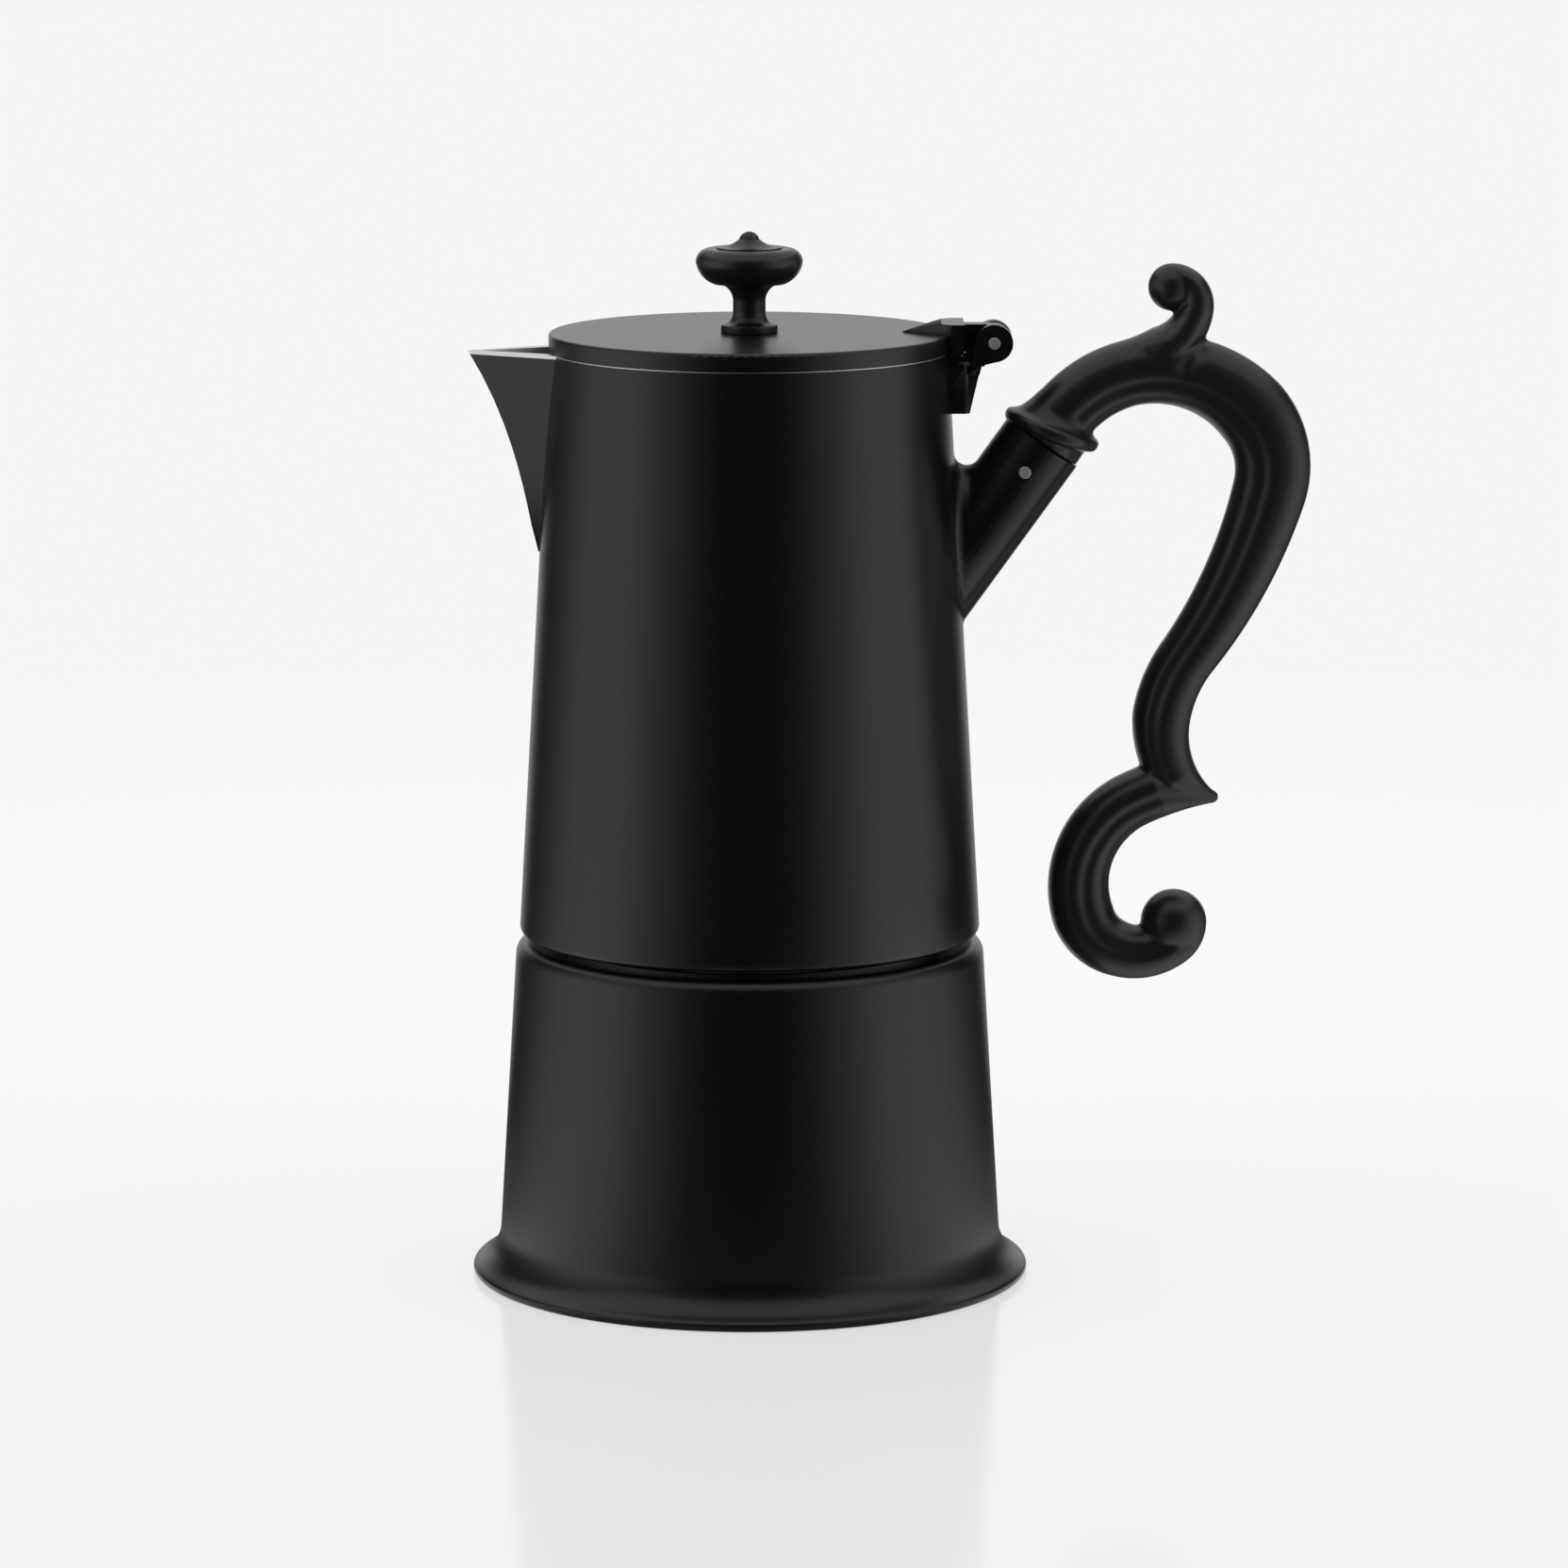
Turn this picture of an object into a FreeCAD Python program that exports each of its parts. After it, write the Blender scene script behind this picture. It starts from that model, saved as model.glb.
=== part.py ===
# A stove-top moka pot for six small cups, black coated aluminium with a moulded scroll handle.
# Millimetres. +Z is up the pot's axis, the origin is the centre of the flat base, +X points from
# the spout to the handle, and the safety valve faces +Y, away from the side that is usually seen.
import FreeCAD, Part
import math
import os
from types import SimpleNamespace

import Sketcher

doc = FreeCAD.newDocument("moka_pot")

# Driving dimensions
sizes = {
    # Boiler: the spun lower vessel with its flared foot
    "foot_flare": 5.3,
    "foot_lip": 1.0,
    "flare_radius": 8.0,
    "flare_height": 9.0,
    "wall_foot_radius": 47.2,
    "shoulder_radius": 44.1,
    "shoulder_height": 63.8,
    "shoulder_round": 2.6,
    "shoulder_thickness": 3.6,
    "boiler_wall": 3.2,
    "boiler_floor": 4.0,
    "floor_round": 4.5,
    "shoulder_ledge": 7.9,
    "neck_wall": 3.8,
    "neck_rise": 9.7,
    # Safety valve, screwed into a flat boss on the boiler
    "valve_height": 36.0,
    "boss_radius": 8.5,
    "boss_proud": 1.0,
    "shank_radius": 5.0,
    "shank_inside": 1.5,
    "valve_inlet": 2.2,
    "valve_bore": 3.6,
    "valve_hex": 14.0,
    "valve_hex_height": 6.0,
    "valve_nose_radius": 5.6,
    "valve_nose": 2.6,
    "valve_seat": 0.6,
    "washer_radius": 8.0,
    "washer_thickness": 1.0,
    "cap_thickness": 2.0,
    "stem_pin_radius": 1.2,
    "stem_proud": 2.2,
    "stem_disc": 1.0,
    "seal_thickness": 0.8,
    "spring_radius": 2.4,
    "spring_wire": 0.3,
    "spring_turns": 3.0,
    # Funnel that holds the ground coffee, and its pressed-in sieve
    "funnel_wall": 0.8,
    "funnel_rim_inset": 0.8,
    "basket_room": 2.4,
    "basket_depth": 21.0,
    "basket_ledge": 2.0,
    "funnel_cone": 7.0,
    "funnel_stem_radius": 5.0,
    "funnel_stem_gap": 3.0,
    "sieve_thickness": 0.8,
    "sieve_hole_radius": 0.9,
    "sieve_pitch": 7.6,
    # Rubber ring and upper sieve under the collector
    "gasket_inset": 1.6,
    "gasket_width": 8.0,
    "gasket_thickness": 3.5,
    "filter_inset": 2.5,
    # Collector: the upper jug
    "joint_gap": 1.4,
    "collector_setback": 0.8,
    "collector_foot_round": 1.5,
    "thread_room": 1.4,
    "collector_wall": 2.6,
    "collector_floor": 3.0,
    "collector_dome": 2.0,
    "collector_narrowing": 6.2,
    "collector_height": 109.9,
    # Riser column through the collector's floor
    "column_spigot": 6.0,
    "column_foot_radius": 7.2,
    "column_top_radius": 5.8,
    "column_bore": 4.4,
    "column_headroom": 15.1,
    "column_cap": 2.4,
    "outlet_width": 4.0,
    "outlet_height": 8.0,
    # Spout
    "spout_throw": 15.3,
    "spout_height": 40.1,
    "spout_half_width": 10.5,
    "spout_nose": 0.7,
    "spout_wall": 1.5,
    # Hinge
    "hinge_out": 8.4,
    "hinge_rise": 1.8,
    "hinge_pin_radius": 1.25,
    "hinge_width": 10.4,
    "ear_radius": 3.5,
    "knuckle_radius": 3.3,
    "knuckle_width": 4.2,
    "bracket_foot_drop": 11.3,
    "bracket_top_drop": 2.3,
    "bracket_foot_out": 3.9,
    "bracket_top_out": 6.1,
    "bracket_shoulder_out": 3.0,
    "bracket_nose_half_width": 2.6,
    "sill_setback": 1.4,
    # Lid
    "lid_overhang": 0.3,
    "lid_edge": 3.3,
    "lid_plate": 2.1,
    "lid_round": 0.6,
    "skirt_wall": 1.5,
    "skirt_depth": 2.2,
    "leaf_length": 8.8,
    "leaf_half_width": 6.5,
    "leaf_rise": 2.0,
    "leaf_block": 2.2,
    "leaf_drop": 4.0,
    # Turned knob and its screw
    "knob_flange_radius": 5.3,
    "knob_flange": 1.5,
    "knob_neck_radius": 3.05,
    "knob_head_radius": 10.0,
    "knob_head_height": 13.2,
    "knob_collar_radius": 6.1,
    "knob_height": 18.8,
    "knob_button_radius": 1.95,
    "screw_radius": 1.5,
    "screw_reach": 9.0,
    "screw_head_radius": 3.0,
    "screw_head": 1.8,
    "screw_washer_radius": 4.2,
    "screw_washer": 0.7,
    # Slanted socket on the collector, and the handle's tang in it
    "socket_out": 17.6,
    "socket_drop": 17.1,
    "socket_angle": 54.3,
    "socket_radius": 7.9,
    "socket_depth": 17.0,
    "socket_blend": 2.4,
    "tang_radius": 5.0,
    "tang_pin_radius": 1.25,
    "tang_pin_depth": 6.0,
    # Handle: a collar, an arch and arm that end in a spur, a lower scroll, and a leaf on top
    "collar_radius": 9.1,
    "collar_lip": 2.0,
    "collar_cove": 3.6,
    "collar_rise": 2.9,
    "collar_tilt": 69.4,
    "arm_root": 4.9,
    "arm_heading": 51.0,
    "root_half_width": 6.2,
    "root_radius": 31.0,
    "root_angle": 11.0,
    "arch_radius": 22.9,
    "arch_angle": 89.5,
    "arch_half_width": 7.3,
    "bow_radius": 16.2,
    "bow_angle": 55.7,
    "bow_half_width": 7.0,
    "arm_radius": 95.0,
    "arm_angle": 21.0,
    "knee_half_width": 5.5,
    "knee_radius": 26.8,
    "knee_angle": 27.6,
    "spur_radius": 14.9,
    "spur_bend_angle": 34.0,
    "spur_bend_half_width": 4.7,
    "spur_tip_angle": 23.4,
    "spur_tip": 1.2,
    "handle_thickness": 12.6,
    "scroll_heading": 190.2,
    "scroll_lead": 49.0,
    "scroll_swell_angle": 10.5,
    "scroll_lead_angle": 5.0,
    "scroll_half_width": 5.3,
    "scroll_radius": 18.2,
    "scroll_angle": 84.0,
    "scroll_belly_half_width": 5.9,
    "scroll_tight_radius": 9.6,
    "scroll_tight_angle": 54.0,
    "scroll_tail_radius": 16.5,
    "scroll_tail_angle": 54.0,
    "scroll_tail_half_width": 4.6,
    "scroll_curl_radius": 9.3,
    "scroll_curl_angle": 52.5,
    "scroll_ball_radius": 6.25,
    "leaf_start_angle": 25.0,
    "leaf_root_half_width": 2.5,
    "leaf_radius": 26.0,
    "leaf_angle": 15.0,
    "leaf_neck_half_width": 4.3,
    "leaf_bend_radius": 13.6,
    "leaf_bend_angle": 54.0,
    "leaf_bend_half_width": 3.4,
    "leaf_curl_radius": 7.9,
    "leaf_curl_angle": 96.0,
    "leaf_end_half_width": 2.2,
    "leaf_thickness": 13.0,
    "leaf_ball_radius": 4.5,
    # Clearances
    "running_fit": 0.06,
    "press_fit": 0.04,
    "loose_fit": 0.3,
    "lid_fit": 0.1,
}


class Size:
    """A number together with the expression that ties it to the sheet."""

    def __init__(self, value, text):
        self.value = value
        self.text = text

    def __add__(self, other):
        return combine(self, "+", other)

    def __radd__(self, other):
        return combine(other, "+", self)

    def __sub__(self, other):
        return combine(self, "-", other)

    def __rsub__(self, other):
        return combine(other, "-", self)

    def __mul__(self, other):
        return combine(self, "*", other)

    def __rmul__(self, other):
        return combine(other, "*", self)

    def __truediv__(self, other):
        return combine(self, "/", other)

    def __neg__(self):
        return combine(0, "-", self)


def as_size(term):
    """A plain number as a Size, so that both kinds mix."""
    if isinstance(term, Size):
        return term
    return Size(float(term), str(float(term)))


def combine(first, sign, second):
    """The sum, difference, product or quotient of two terms, as number and as expression."""
    left = as_size(first)
    right = as_size(second)
    results = {
        "+": left.value + right.value,
        "-": left.value - right.value,
        "*": left.value * right.value,
    }
    if sign == "/":
        results["/"] = left.value / right.value
    return Size(results[sign], f"({left.text} {sign} {right.text})")


def sine(angle):
    return Size(math.sin(math.radians(angle.value)), f"sin({angle.text} * 1 deg)")


def cosine(angle):
    return Size(math.cos(math.radians(angle.value)), f"cos({angle.text} * 1 deg)")


sheet = doc.addObject("Spreadsheet::Sheet", "Sizes")
for row, (alias, number) in enumerate(sizes.items(), start=1):
    sheet.set(f"A{row}", alias)
    sheet.set(f"B{row}", str(number))
    sheet.setAlias(f"B{row}", alias)
doc.recompute()
dim = SimpleNamespace(**{alias: Size(number, f"Sizes.{alias}") for alias, number in sizes.items()})

# Sizes that follow from others: the neck and what sits in it, the jug, and what the jug's rim carries
dim.foot_radius = dim.wall_foot_radius + dim.foot_flare
dim.neck_radius = dim.shoulder_radius - dim.shoulder_ledge
dim.neck_bore = dim.neck_radius - dim.neck_wall
dim.neck_height = dim.shoulder_height + dim.neck_rise
dim.funnel_rim_radius = dim.neck_radius - dim.funnel_rim_inset
dim.basket_radius = dim.neck_bore - dim.basket_room
dim.collector_bore = dim.neck_radius + dim.thread_room
dim.gasket_radius = dim.collector_bore - dim.gasket_inset
dim.gasket_bore = dim.gasket_radius - dim.gasket_width
dim.filter_radius = dim.gasket_radius - dim.filter_inset
dim.collector_foot_radius = dim.shoulder_radius - dim.collector_setback
dim.rim_radius = dim.collector_foot_radius - dim.collector_narrowing
dim.rim_height = dim.shoulder_height + dim.joint_gap + dim.collector_height
dim.column_height = dim.rim_height - dim.column_headroom
dim.spout_reach = dim.rim_radius + dim.spout_throw
dim.spout_foot = dim.rim_height - dim.spout_height
dim.hinge_x = dim.rim_radius + dim.hinge_out
dim.hinge_z = dim.rim_height + dim.hinge_rise
dim.bracket_foot = dim.rim_height - dim.bracket_foot_drop
dim.bracket_top = dim.rim_height - dim.bracket_top_drop
dim.bracket_foot_reach = dim.rim_radius + dim.bracket_foot_out
dim.bracket_top_reach = dim.rim_radius + dim.bracket_top_out
dim.lid_radius = dim.rim_radius + dim.lid_overhang
dim.leaf_tip = dim.lid_radius - dim.leaf_length
dim.socket_x = dim.rim_radius + dim.socket_out
dim.socket_z = dim.rim_height - dim.socket_drop


def bind(feature, path, size):
    """Tie one property of a feature to the sheet."""
    feature.setExpression(path, as_size(size).text)


def new_body(label):
    return doc.addObject("PartDesign::Body", label)


def new_sketch(body, name, role, offset=None):
    """A sketch on one of the body's own origin planes, raised by offset along its normal."""
    sketch = body.newObject("Sketcher::SketchObject", name)
    plane = next(feature for feature in body.Origin.OriginFeatures if feature.Role == role)
    sketch.AttachmentSupport = (plane, [""])
    sketch.MapMode = "FlatFace"
    if offset is not None:
        bind(sketch, "AttachmentOffset.Base.z", offset)
    return sketch


def arc_between(start, end, radius, side):
    """The minor arc from start to end; side is +1 where it turns left and -1 where it turns right."""
    chord = end - start
    half = chord.Length / 2
    left = FreeCAD.Vector(-chord.y, chord.x, 0).normalize()
    rise = math.sqrt(max(radius * radius - half * half, 0))
    centre = (start + end) / 2 + left * rise * side
    first, last = (start, end) if side > 0 else (end, start)
    circle = Part.Circle(centre, FreeCAD.Vector(0, 0, 1), radius)
    begin = math.atan2(first.y - centre.y, first.x - centre.x)
    finish = math.atan2(last.y - centre.y, last.x - centre.x)
    return Part.ArcOfCircle(circle, begin, finish)


def draw_outline(sketch, corners):
    """Close a loop of lines and arcs through the corners, each corner tied to the sheet.

    A corner is (across, up), or (across, up, radius, side) where an arc leads to the next one.
    """
    points = [FreeCAD.Vector(as_size(c[0]).value, as_size(c[1]).value, 0) for c in corners]
    count = len(corners)
    ends = []
    for index, corner in enumerate(corners):
        start = points[index]
        end = points[(index + 1) % count]
        if len(corner) == 2:
            sketch.addGeometry(Part.LineSegment(start, end), False)
            ends.append((1, 2))
        else:
            sketch.addGeometry(arc_between(start, end, corner[2].value, corner[3]), False)
            ends.append((1, 2) if corner[3] > 0 else (2, 1))
    for index in range(count):
        after = (index + 1) % count
        far = ends[index][1]
        sketch.addConstraint(Sketcher.Constraint("Coincident", index, far, after, ends[after][0]))
    for index, corner in enumerate(corners):
        near = ends[index][0]
        for kind, axis, term in (("DistanceX", -2, corner[0]), ("DistanceY", -1, corner[1])):
            if as_size(term).value == 0:
                sketch.addConstraint(Sketcher.Constraint("PointOnObject", index, near, axis))
                continue
            number = sketch.addConstraint(
                Sketcher.Constraint(kind, -1, 1, index, near, as_size(term).value))
            bind(sketch, f"Constraints[{number}]", term)
        if len(corner) == 4:
            number = sketch.addConstraint(Sketcher.Constraint("Radius", index, corner[2].value))
            bind(sketch, f"Constraints[{number}]", corner[2])


def revolve(body, name, corners, cut=False):
    """Turn a closed profile of (radius, height) corners about the body's own Z axis."""
    sketch = new_sketch(body, f"{name}_profile", "XZ_Plane")
    draw_outline(sketch, corners)
    turned = body.newObject("PartDesign::Groove" if cut else "PartDesign::Revolution", name)
    turned.Profile = sketch
    turned.ReferenceAxis = (sketch, ["V_Axis"])
    turned.Angle = 360
    doc.recompute()
    return turned


def extrude(body, name, corners, role, length, offset=None, cut=False, midplane=False):
    """Pad or pocket a closed outline drawn on an origin plane."""
    sketch = new_sketch(body, f"{name}_outline", role, offset)
    draw_outline(sketch, corners)
    solid = body.newObject("PartDesign::Pocket" if cut else "PartDesign::Pad", name)
    solid.Profile = sketch
    solid.Midplane = midplane
    bind(solid, "Length", length)
    doc.recompute()
    return solid


def cylinder(body, name, radius, length, place, cut=False):
    """Add or cut a round bar; place is its start (x, y, z) and its tilt about +Y from +Z, or 'along_y'."""
    kind = "PartDesign::SubtractiveCylinder" if cut else "PartDesign::AdditiveCylinder"
    bar = body.newObject(kind, name)
    bind(bar, "Radius", radius)
    bind(bar, "Height", length)
    base, tilt = place
    if tilt == "along_y":
        bar.Placement.Rotation = FreeCAD.Rotation(FreeCAD.Vector(1, 0, 0), -90)
    else:
        bar.Placement.Rotation = FreeCAD.Rotation(FreeCAD.Vector(0, 1, 0), as_size(tilt).value)
        bind(bar, "Placement.Rotation.Angle", tilt)
    for axis, term in zip("xyz", base):
        bind(bar, f"Placement.Base.{axis}", term)
    doc.recompute()
    return bar


def edges_where(feature, test):
    """Names of the feature's edges whose middle point passes the test."""
    names = []
    for number, edge in enumerate(feature.Shape.Edges, start=1):
        middle = edge.valueAt((edge.FirstParameter + edge.LastParameter) / 2)
        if test(edge, middle):
            names.append(f"Edge{number}")
    return names


def round_edges(body, name, feature, radius, test):
    """Fillet the chosen edges of the feature."""
    fillet = body.newObject("PartDesign::Fillet", name)
    fillet.Base = (feature, edges_where(feature, test))
    bind(fillet, "Radius", radius)
    doc.recompute()
    return fillet


# Heights and radii that several pieces share
shoulder_start = dim.shoulder_height - dim.shoulder_round
wall_taper = (dim.wall_foot_radius - dim.shoulder_radius) / (shoulder_start - dim.flare_height)
collector_foot = dim.shoulder_height + dim.joint_gap
collector_taper = (dim.collector_foot_radius - dim.rim_radius) / (dim.rim_height - collector_foot)
funnel_top = dim.neck_height + dim.funnel_wall
gasket_top = funnel_top + dim.gasket_thickness
filter_top = gasket_top + dim.sieve_thickness
floor_underside = filter_top + dim.collector_dome
floor_top = floor_underside + dim.collector_floor
lid_seat = dim.rim_height + dim.lid_fit
lid_top = lid_seat + dim.lid_edge
lid_underside = lid_top - dim.lid_plate
valve_wall_radius = dim.wall_foot_radius - wall_taper * (dim.valve_height - dim.flare_height)
boss_face = valve_wall_radius + dim.boss_proud


def collector_radius(height):
    """Outside radius of the collector's tapered wall."""
    return dim.rim_radius + collector_taper * (dim.rim_height - height)


def add_boiler():
    """Spun vessel with a flared foot, a rounded shoulder, a neck for the thread and a valve boss."""
    body = new_body("boiler")
    lip_turn = Size(50.0, "50.0")
    lip_x = dim.foot_radius - dim.foot_lip + dim.foot_lip * cosine(lip_turn)
    lip_z = dim.foot_lip + dim.foot_lip * sine(lip_turn)
    outside = [
        (0, 0),
        (dim.foot_radius - dim.foot_lip, 0, dim.foot_lip, 1),
        (lip_x, lip_z, dim.flare_radius, -1),
        (dim.wall_foot_radius, dim.flare_height),
        (dim.shoulder_radius, shoulder_start, dim.shoulder_round, 1),
        (dim.shoulder_radius - dim.shoulder_round, dim.shoulder_height),
        (dim.neck_radius, dim.shoulder_height),
        (dim.neck_radius, dim.neck_height),
        (0, dim.neck_height),
    ]
    revolve(body, "boiler_outside", outside)
    cylinder(body, "valve_boss", dim.boss_radius, boss_face - dim.neck_radius,
             ((0, dim.neck_radius, dim.valve_height), "along_y"))
    roof = dim.shoulder_height - dim.shoulder_thickness
    chamber_foot = dim.wall_foot_radius - dim.boiler_wall
    inside = [
        (0, dim.boiler_floor),
        (chamber_foot - dim.floor_round, dim.boiler_floor, dim.floor_round, 1),
        (chamber_foot, dim.boiler_floor + dim.floor_round),
        (dim.shoulder_radius - dim.boiler_wall, roof - dim.shoulder_thickness),
        (dim.neck_bore, roof),
        (dim.neck_bore, dim.neck_height),
        (0, dim.neck_height),
    ]
    revolve(body, "boiler_chamber", inside, cut=True)
    cylinder(body, "valve_hole", dim.shank_radius + dim.press_fit, boss_face,
             ((0, dim.neck_bore, dim.valve_height), "along_y"), cut=True)
    return body


def valve_body_at(label):
    """A body whose own Z axis is the valve's axis, pointing out of the boss face."""
    body = new_body(label)
    body.Placement.Rotation = FreeCAD.Rotation(FreeCAD.Vector(1, 0, 0), -90)
    bind(body, "Placement.Base.y", boss_face)
    bind(body, "Placement.Base.z", dim.valve_height)
    return body


# Stations along the valve's axis, counted outwards from the boss face
hex_end = dim.washer_thickness + dim.valve_hex_height
nose_end = hex_end + dim.valve_nose
seat_height = dim.washer_thickness + dim.valve_seat
seal_end = seat_height + dim.seal_thickness
disc_end = seal_end + dim.stem_disc
cap_start = nose_end - dim.cap_thickness


def add_valve_body():
    """Brass hexagon with a threaded shank, a seat and a bore for the spring."""
    body = valve_body_at("valve_body")
    shank_end = -(dim.boiler_wall + dim.boss_proud + dim.shank_inside)
    outside = [
        (0, shank_end),
        (dim.shank_radius, shank_end),
        (dim.shank_radius, dim.washer_thickness),
        (dim.valve_nose_radius, dim.washer_thickness),
        (dim.valve_nose_radius, nose_end),
        (0, nose_end),
    ]
    revolve(body, "valve_turning", outside)
    corner = dim.valve_hex / (2 * cosine(Size(30.0, "30.0")))
    hexagon = []
    for turn in range(0, 360, 60):
        angle = Size(float(turn), str(float(turn)))
        hexagon.append((corner * cosine(angle), corner * sine(angle)))
    hexagon[0] = (corner, 0)
    hexagon[3] = (-corner, 0)
    extrude(body, "valve_hexagon", hexagon, "XY_Plane", dim.valve_hex_height, offset=dim.washer_thickness)
    inside = [
        (0, shank_end),
        (dim.valve_inlet, shank_end),
        (dim.valve_inlet, seat_height),
        (dim.valve_bore, seat_height),
        (dim.valve_bore, nose_end),
        (0, nose_end),
    ]
    revolve(body, "valve_bore_cut", inside, cut=True)
    return body


def ring(body, name, inner, outer, low, high):
    """A plain ring of rectangular section."""
    return revolve(body, name, [(inner, low), (outer, low), (outer, high), (inner, high)])


def add_valve_washer():
    """Flat sealing ring between the boss and the hexagon."""
    body = valve_body_at("valve_washer")
    bore = dim.shank_radius + dim.press_fit
    ring(body, "washer_ring", bore, dim.washer_radius, 0, dim.washer_thickness)
    return body


def add_valve_cap():
    """Threaded ring that closes the valve's bore and guides the stem."""
    body = valve_body_at("valve_cap")
    guide = dim.stem_pin_radius + dim.running_fit
    ring(body, "cap_ring", guide, dim.valve_bore - dim.press_fit, cap_start, nose_end)
    return body


def add_valve_stem():
    """Piston that the spring holds shut: a disc on a pin that stands out through the cap."""
    body = valve_body_at("valve_stem")
    disc_radius = dim.valve_bore - dim.loose_fit
    stem = [
        (0, seal_end),
        (disc_radius, seal_end),
        (disc_radius, disc_end),
        (dim.stem_pin_radius, disc_end),
        (dim.stem_pin_radius, nose_end + dim.stem_proud),
        (0, nose_end + dim.stem_proud),
    ]
    revolve(body, "stem_turning", stem)
    return body


def add_valve_seal():
    """Rubber disc under the piston, which rests on the seat."""
    body = valve_body_at("valve_seal")
    seal_radius = dim.valve_bore - dim.loose_fit
    disc = [(0, seat_height), (seal_radius, seat_height), (seal_radius, seal_end), (0, seal_end)]
    revolve(body, "seal_disc", disc)
    return body


def biarc(start, start_way, end, end_way):
    """Two tangent arcs that lead from one directed point to another."""
    span = end - start
    ways = start_way + end_way
    lean = span.dot(ways)
    spare = 4 - ways.dot(ways)
    reach = (math.sqrt(lean * lean + spare * span.dot(span)) - lean) / spare
    first_corner = start + start_way * reach
    last_corner = end - end_way * reach
    joint = (first_corner + last_corner) / 2
    edges = []
    for near, corner, far in ((start, first_corner, joint), (joint, last_corner, end)):
        middle = (near + far) / 2
        half = (far - near).Length / 2
        rise = corner - middle
        bow = half * math.tan(math.atan2(rise.Length, half) / 2)
        edges.append(Part.Arc(near, middle + rise.normalize() * bow, far).toShape())
    return edges


def add_valve_spring():
    """Coil spring between the piston's disc and the cap, one unbroken wire."""
    wire_radius = dim.spring_wire.value
    coil = dim.spring_radius.value
    slack = dim.press_fit.value
    low = disc_end.value + wire_radius + slack
    rise = cap_start.value - wire_radius - slack - low
    quarters = int(round(dim.spring_turns.value * 4))
    climb = rise / (dim.spring_turns.value * 2 * math.pi)

    def on_coil(step):
        angle = step * math.pi / 2
        point = FreeCAD.Vector(coil * math.cos(angle), coil * math.sin(angle), low + climb * angle)
        way = FreeCAD.Vector(-coil * math.sin(angle), coil * math.cos(angle), climb)
        return point, way.normalize()

    edges = []
    for step in range(quarters):
        edges.extend(biarc(*on_coil(step), *on_coil(step + 1)))
    path = Part.Wire(edges)
    start, way = on_coil(0)
    section = Part.Wire([Part.Circle(start, way, wire_radius).toShape()])
    least_gap = rise / dim.spring_turns.value - 2 * wire_radius
    print(f"valve spring: least gap between turns {least_gap:.2f} mm")
    spring = doc.addObject("Part::Feature", "valve_spring")
    spring.Shape = path.makePipeShell([section], True, False)
    spring.Placement = FreeCAD.Placement(
        FreeCAD.Vector(0, boss_face.value, dim.valve_height.value),
        FreeCAD.Rotation(FreeCAD.Vector(1, 0, 0), -90))
    return spring


basket_floor = dim.neck_height - dim.basket_depth
basket_inside = dim.basket_radius - dim.funnel_wall
ledge_inside = basket_inside - dim.basket_ledge
stem_bore = dim.funnel_stem_radius - dim.funnel_wall


def add_funnel():
    """Drawn aluminium funnel: a rim on the boiler's neck, a basket, a cone and a stem."""
    body = new_body("funnel")
    stem_end = dim.boiler_floor + dim.funnel_stem_gap
    cone_end = basket_floor - dim.funnel_cone
    profile = [
        (dim.funnel_rim_radius, dim.neck_height),
        (dim.funnel_rim_radius, funnel_top),
        (basket_inside, funnel_top),
        (basket_inside, basket_floor + dim.funnel_wall),
        (ledge_inside, basket_floor + dim.funnel_wall),
        (stem_bore, cone_end + dim.funnel_wall),
        (stem_bore, stem_end),
        (dim.funnel_stem_radius, stem_end),
        (dim.funnel_stem_radius, cone_end),
        (dim.basket_radius - dim.basket_ledge, basket_floor),
        (dim.basket_radius, basket_floor),
        (dim.basket_radius, dim.neck_height),
    ]
    revolve(body, "funnel_wall", profile)
    return body


def add_sieve(label, radius, low):
    """Thin round plate with rings of holes, six more in each ring."""
    body = new_body(label)
    plate = [(0, low), (radius, low), (radius, low + dim.sieve_thickness), (0, low + dim.sieve_thickness)]
    revolve(body, f"{label}_disc", plate)
    for row in range(1, 4):
        hole = cylinder(body, f"{label}_hole_{row}", dim.sieve_hole_radius, 3 * dim.sieve_thickness,
                        ((row * dim.sieve_pitch, 0, low - dim.sieve_thickness), 0), cut=True)
        pattern = body.newObject("PartDesign::PolarPattern", f"{label}_ring_{row}")
        pattern.Originals = [hole]
        axis = next(feature for feature in body.Origin.OriginFeatures if feature.Role == "Z_Axis")
        pattern.Axis = (axis, [""])
        pattern.Angle = 360
        pattern.Occurrences = 6 * row
        body.Tip = pattern
        doc.recompute()
    return body


def add_gasket():
    """Rubber ring between the funnel's rim and the collector."""
    body = new_body("gasket")
    ring(body, "gasket_ring", dim.gasket_bore, dim.gasket_radius, funnel_top, gasket_top)
    return body


spout_outside = as_size(0)


def spout_section(body, name, share, wall):
    """One level of the spout: a tapering plan from inside the jug's wall out to the prow."""
    level = dim.spout_foot + dim.spout_height * share
    body_radius = collector_radius(level)
    prow = body_radius + dim.spout_throw * share ** 1.45 - wall * 2
    width = dim.spout_half_width * share - wall
    nose = dim.spout_nose if wall is spout_outside else dim.spout_nose / 2
    root = body_radius - dim.collector_wall * (1.2 if wall is spout_outside else 2.5)
    sketch = new_sketch(body, name, "XY_Plane", level)
    draw_outline(sketch, [(-root, width + nose), (-prow, nose), (-prow, -nose), (-root, -(width + nose))])
    return sketch


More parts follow.
